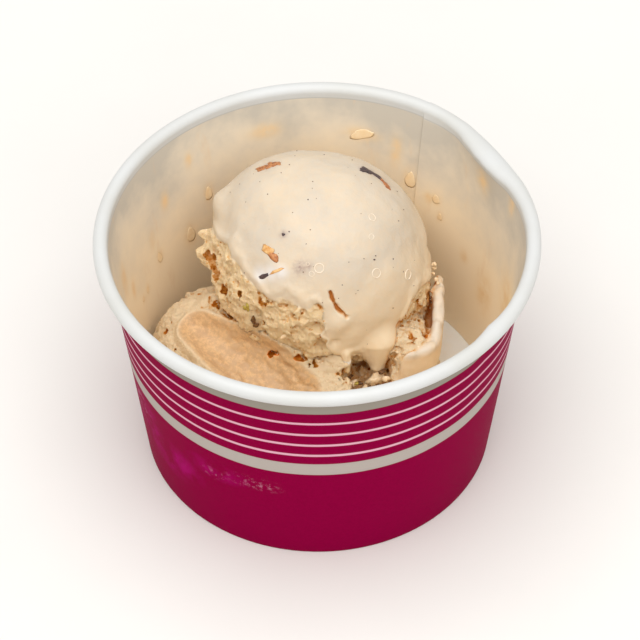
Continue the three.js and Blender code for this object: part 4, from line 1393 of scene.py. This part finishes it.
# %% [markdown]
# ## Crumbs
# Torn gelato sheds crumbs: fine ones cling to all torn faces, and larger ones, dark bits and
# green nibs lie in the hollow in front, on the curl and on the upper scoop's torn side.
# Geometry Nodes scatter the fine ones where the attribute says torn and not shut in, because
# a deep hole's wall is bare. The larger ones are placed one by one, each a ball pushed in and
# out by noise.

# %% Fine crumbs on the torn faces
CRUMB_SEED, CRUMB_DENSITY, CRUMB_SIZE = 5, 1.0, 0.17
TORN_FROM, SHUT_UP_TO = 0.6, 0.6
LUMP_SCALE, LUMP_HEIGHT = 3500.0, 0.35
CRUMB_SPREAD = (0.5, 0.5, 0.4), (1.7, 1.7, 1.2)
crumbly = Tree("fine_crumbs", Density=CRUMB_DENSITY / MM**2, Size=CRUMB_SIZE * MM, Seed=CRUMB_SEED)
torn_here = crumbly.node("GeometryNodeInputNamedAttribute", {"data_type": "FLOAT"}, Name="torn")
rough_here = crumbly.node("FunctionNodeCompare", {"data_type": "FLOAT", "operation": "GREATER_THAN"})
crumbly.group.links.new(torn_here.outputs[0], rough_here.inputs[0])
rough_here.inputs[1].default_value = TORN_FROM
shut_here = crumbly.node("GeometryNodeInputNamedAttribute", {"data_type": "FLOAT"}, Name="shut")
open_here = crumbly.node("FunctionNodeCompare", {"data_type": "FLOAT", "operation": "LESS_THAN"})
crumbly.group.links.new(shut_here.outputs[0], open_here.inputs[0])
open_here.inputs[1].default_value = SHUT_UP_TO
clings = crumbly.node("FunctionNodeBooleanMath", {"operation": "AND"})
crumbly.group.links.new(rough_here.outputs[0], clings.inputs[0])
crumbly.group.links.new(open_here.outputs[0], clings.inputs[1])
dots = crumbly.node("GeometryNodeDistributePointsOnFaces", Mesh=crumbly.source["Geometry"],
                    Selection=clings.outputs[0], Density=crumbly.source["Density"],
                    Seed=crumbly.source["Seed"])
grain_shape = crumbly.node("GeometryNodeMeshIcoSphere", Radius=crumbly.source["Size"], Subdivisions=1)
wobble = crumbly.node("ShaderNodeTexNoise", Scale=LUMP_SCALE)
push = crumbly.node("ShaderNodeVectorMath", {"operation": "SCALE"}, Scale=LUMP_HEIGHT * MM)
centred = crumbly.node("ShaderNodeVectorMath", {"operation": "SUBTRACT"})
crumbly.group.links.new(wobble.outputs["Color"], centred.inputs[0])
centred.inputs[1].default_value = (0.5, 0.5, 0.5)
crumbly.group.links.new(centred.outputs[0], push.inputs[0])
lumpy = crumbly.node("GeometryNodeSetPosition", Geometry=grain_shape.outputs[0], Offset=push.outputs[0])
spread = crumbly.node("FunctionNodeRandomValue", {"data_type": "FLOAT_VECTOR"})
spread.inputs[0].default_value, spread.inputs[1].default_value = CRUMB_SPREAD
placed = crumbly.node("GeometryNodeInstanceOnPoints", Points=dots.outputs[0], Instance=lumpy.outputs[0],
                      Rotation=dots.outputs["Rotation"], Scale=spread.outputs[0])
crumb_finish = small_finish("frosty_crumb", screen(232, 200, 154), screen(248, 226, 194), 0.6, 0.5)
crumbly.finish(placed.outputs[0], crumb_finish)
for base, name, slot in ((scoop_top, "upper_scoop_crumbs", "melted_gelato"),
                         (scoop_lower, "lower_scoop_crumbs", "scraped_gelato")):
    piece = crumbly.grow(name, base)
    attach(piece, "root")

# %% Larger crumbs, dark bits and green nibs
CREAM_CRUMBS = [  # place, half sizes, turn
    ((12.8, -7.5, 22.0), (2.0, 1.4, 1.2), 20), ((7.8, -8.2, 21.6), (0.9, 0.7, 0.6), 50),
    ((4.9, -9.6, 23.6), (0.9, 0.6, 0.6), 0), ((10.2, -9.2, 20.6), (1.2, 0.9, 0.7), 70),
    ((14.8, -8.6, 23.4), (0.9, 0.8, 0.6), 10), ((6.6, -10.2, 22.2), (0.8, 0.7, 0.5), 30),
    ((25.8, 13.4, 36.8), (0.6, 0.6, 0.5), 0), ((25.9, 13.0, 36.0), (0.45, 0.5, 0.5), 40),
    ((26.0, 12.7, 37.4), (0.35, 0.4, 0.4), 10), ((26.3, 11.4, 33.9), (0.5, 0.5, 0.5), 80),
    ((26.6, 10.6, 33.6), (0.4, 0.4, 0.4), 20), ((25.6, 12.2, 35.0), (0.4, 0.4, 0.4), 60),
    ((-7.4, -7.0, 35.4), (1.0, 0.3, 0.5), 30), ((0.0, -7.6, 27.8), (0.5, 0.4, 0.8), 0)]
DARK_CRUMBS = [
    ((9.2, -8.6, 22.0), (0.8, 0.5, 0.3), 0), ((7.0, -7.4, 22.6), (1.0, 0.4, 0.3), 60),
    ((14.0, -7.2, 24.2), (0.9, 0.5, 0.3), 30), ((5.0, -8.6, 22.4), (1.1, 0.5, 0.3), 20),
    ((11.2, -9.8, 21.6), (0.8, 0.4, 0.3), 90), ((13.2, -9.6, 22.4), (0.6, 0.3, 0.2), 0),
    ((-14.1, -3.1, 36.7), (0.5, 0.4, 1.0), 30), ((-13.5, -3.5, 35.4), (0.7, 0.4, 0.5), 0),
    ((-16.7, -0.2, 40.8), (0.8, 0.3, 0.4), 60)]
GREEN_NIBS = [
    ((-15.3, -2.1, 39.6), (0.5, 0.5, 1.0), 30), ((-15.9, -1.6, 39.0), (0.5, 0.4, 0.6), 0),
    ((8.4, -9.4, 22.8), (0.5, 0.4, 0.3), 20)]


def crumb(place, half, turn, seed):
    points, faces = lens(seed, 2, 2, 2, 0.0, rings=5, around=14)
    bulge = 1 + 0.45 * noise(*points.T, 0.8, seed) + 0.25 * noise(*points.T, 0.4, seed + 1)
    points = points * bulge[:, None] * half
    t = math.radians(turn)
    x = points[:, 0] * math.cos(t) - points[:, 1] * math.sin(t)
    y = points[:, 0] * math.sin(t) + points[:, 1] * math.cos(t)
    return np.stack([x, y, points[:, 2]], 1) + place, faces


olive_flake = small_finish("olive_flake", screen(66, 36, 12), screen(126, 84, 38), 0.5, 0.5)
green_nib = small_finish("green_nib", screen(150, 124, 34), screen(200, 180, 84), 0.6, 0.45)
for name, table, seed, finish in (("cream_crumbs", CREAM_CRUMBS, 400, crumb_finish),
                                  ("dark_crumbs", DARK_CRUMBS, 470, olive_flake),
                                  ("green_nibs", GREEN_NIBS, 520, green_nib)):
    parts = [crumb(*row, seed + 3 * i) for i, row in enumerate(table)]
    piece = new_piece(name, *gathered(parts), finishes=[finish])
    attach(piece, "root")
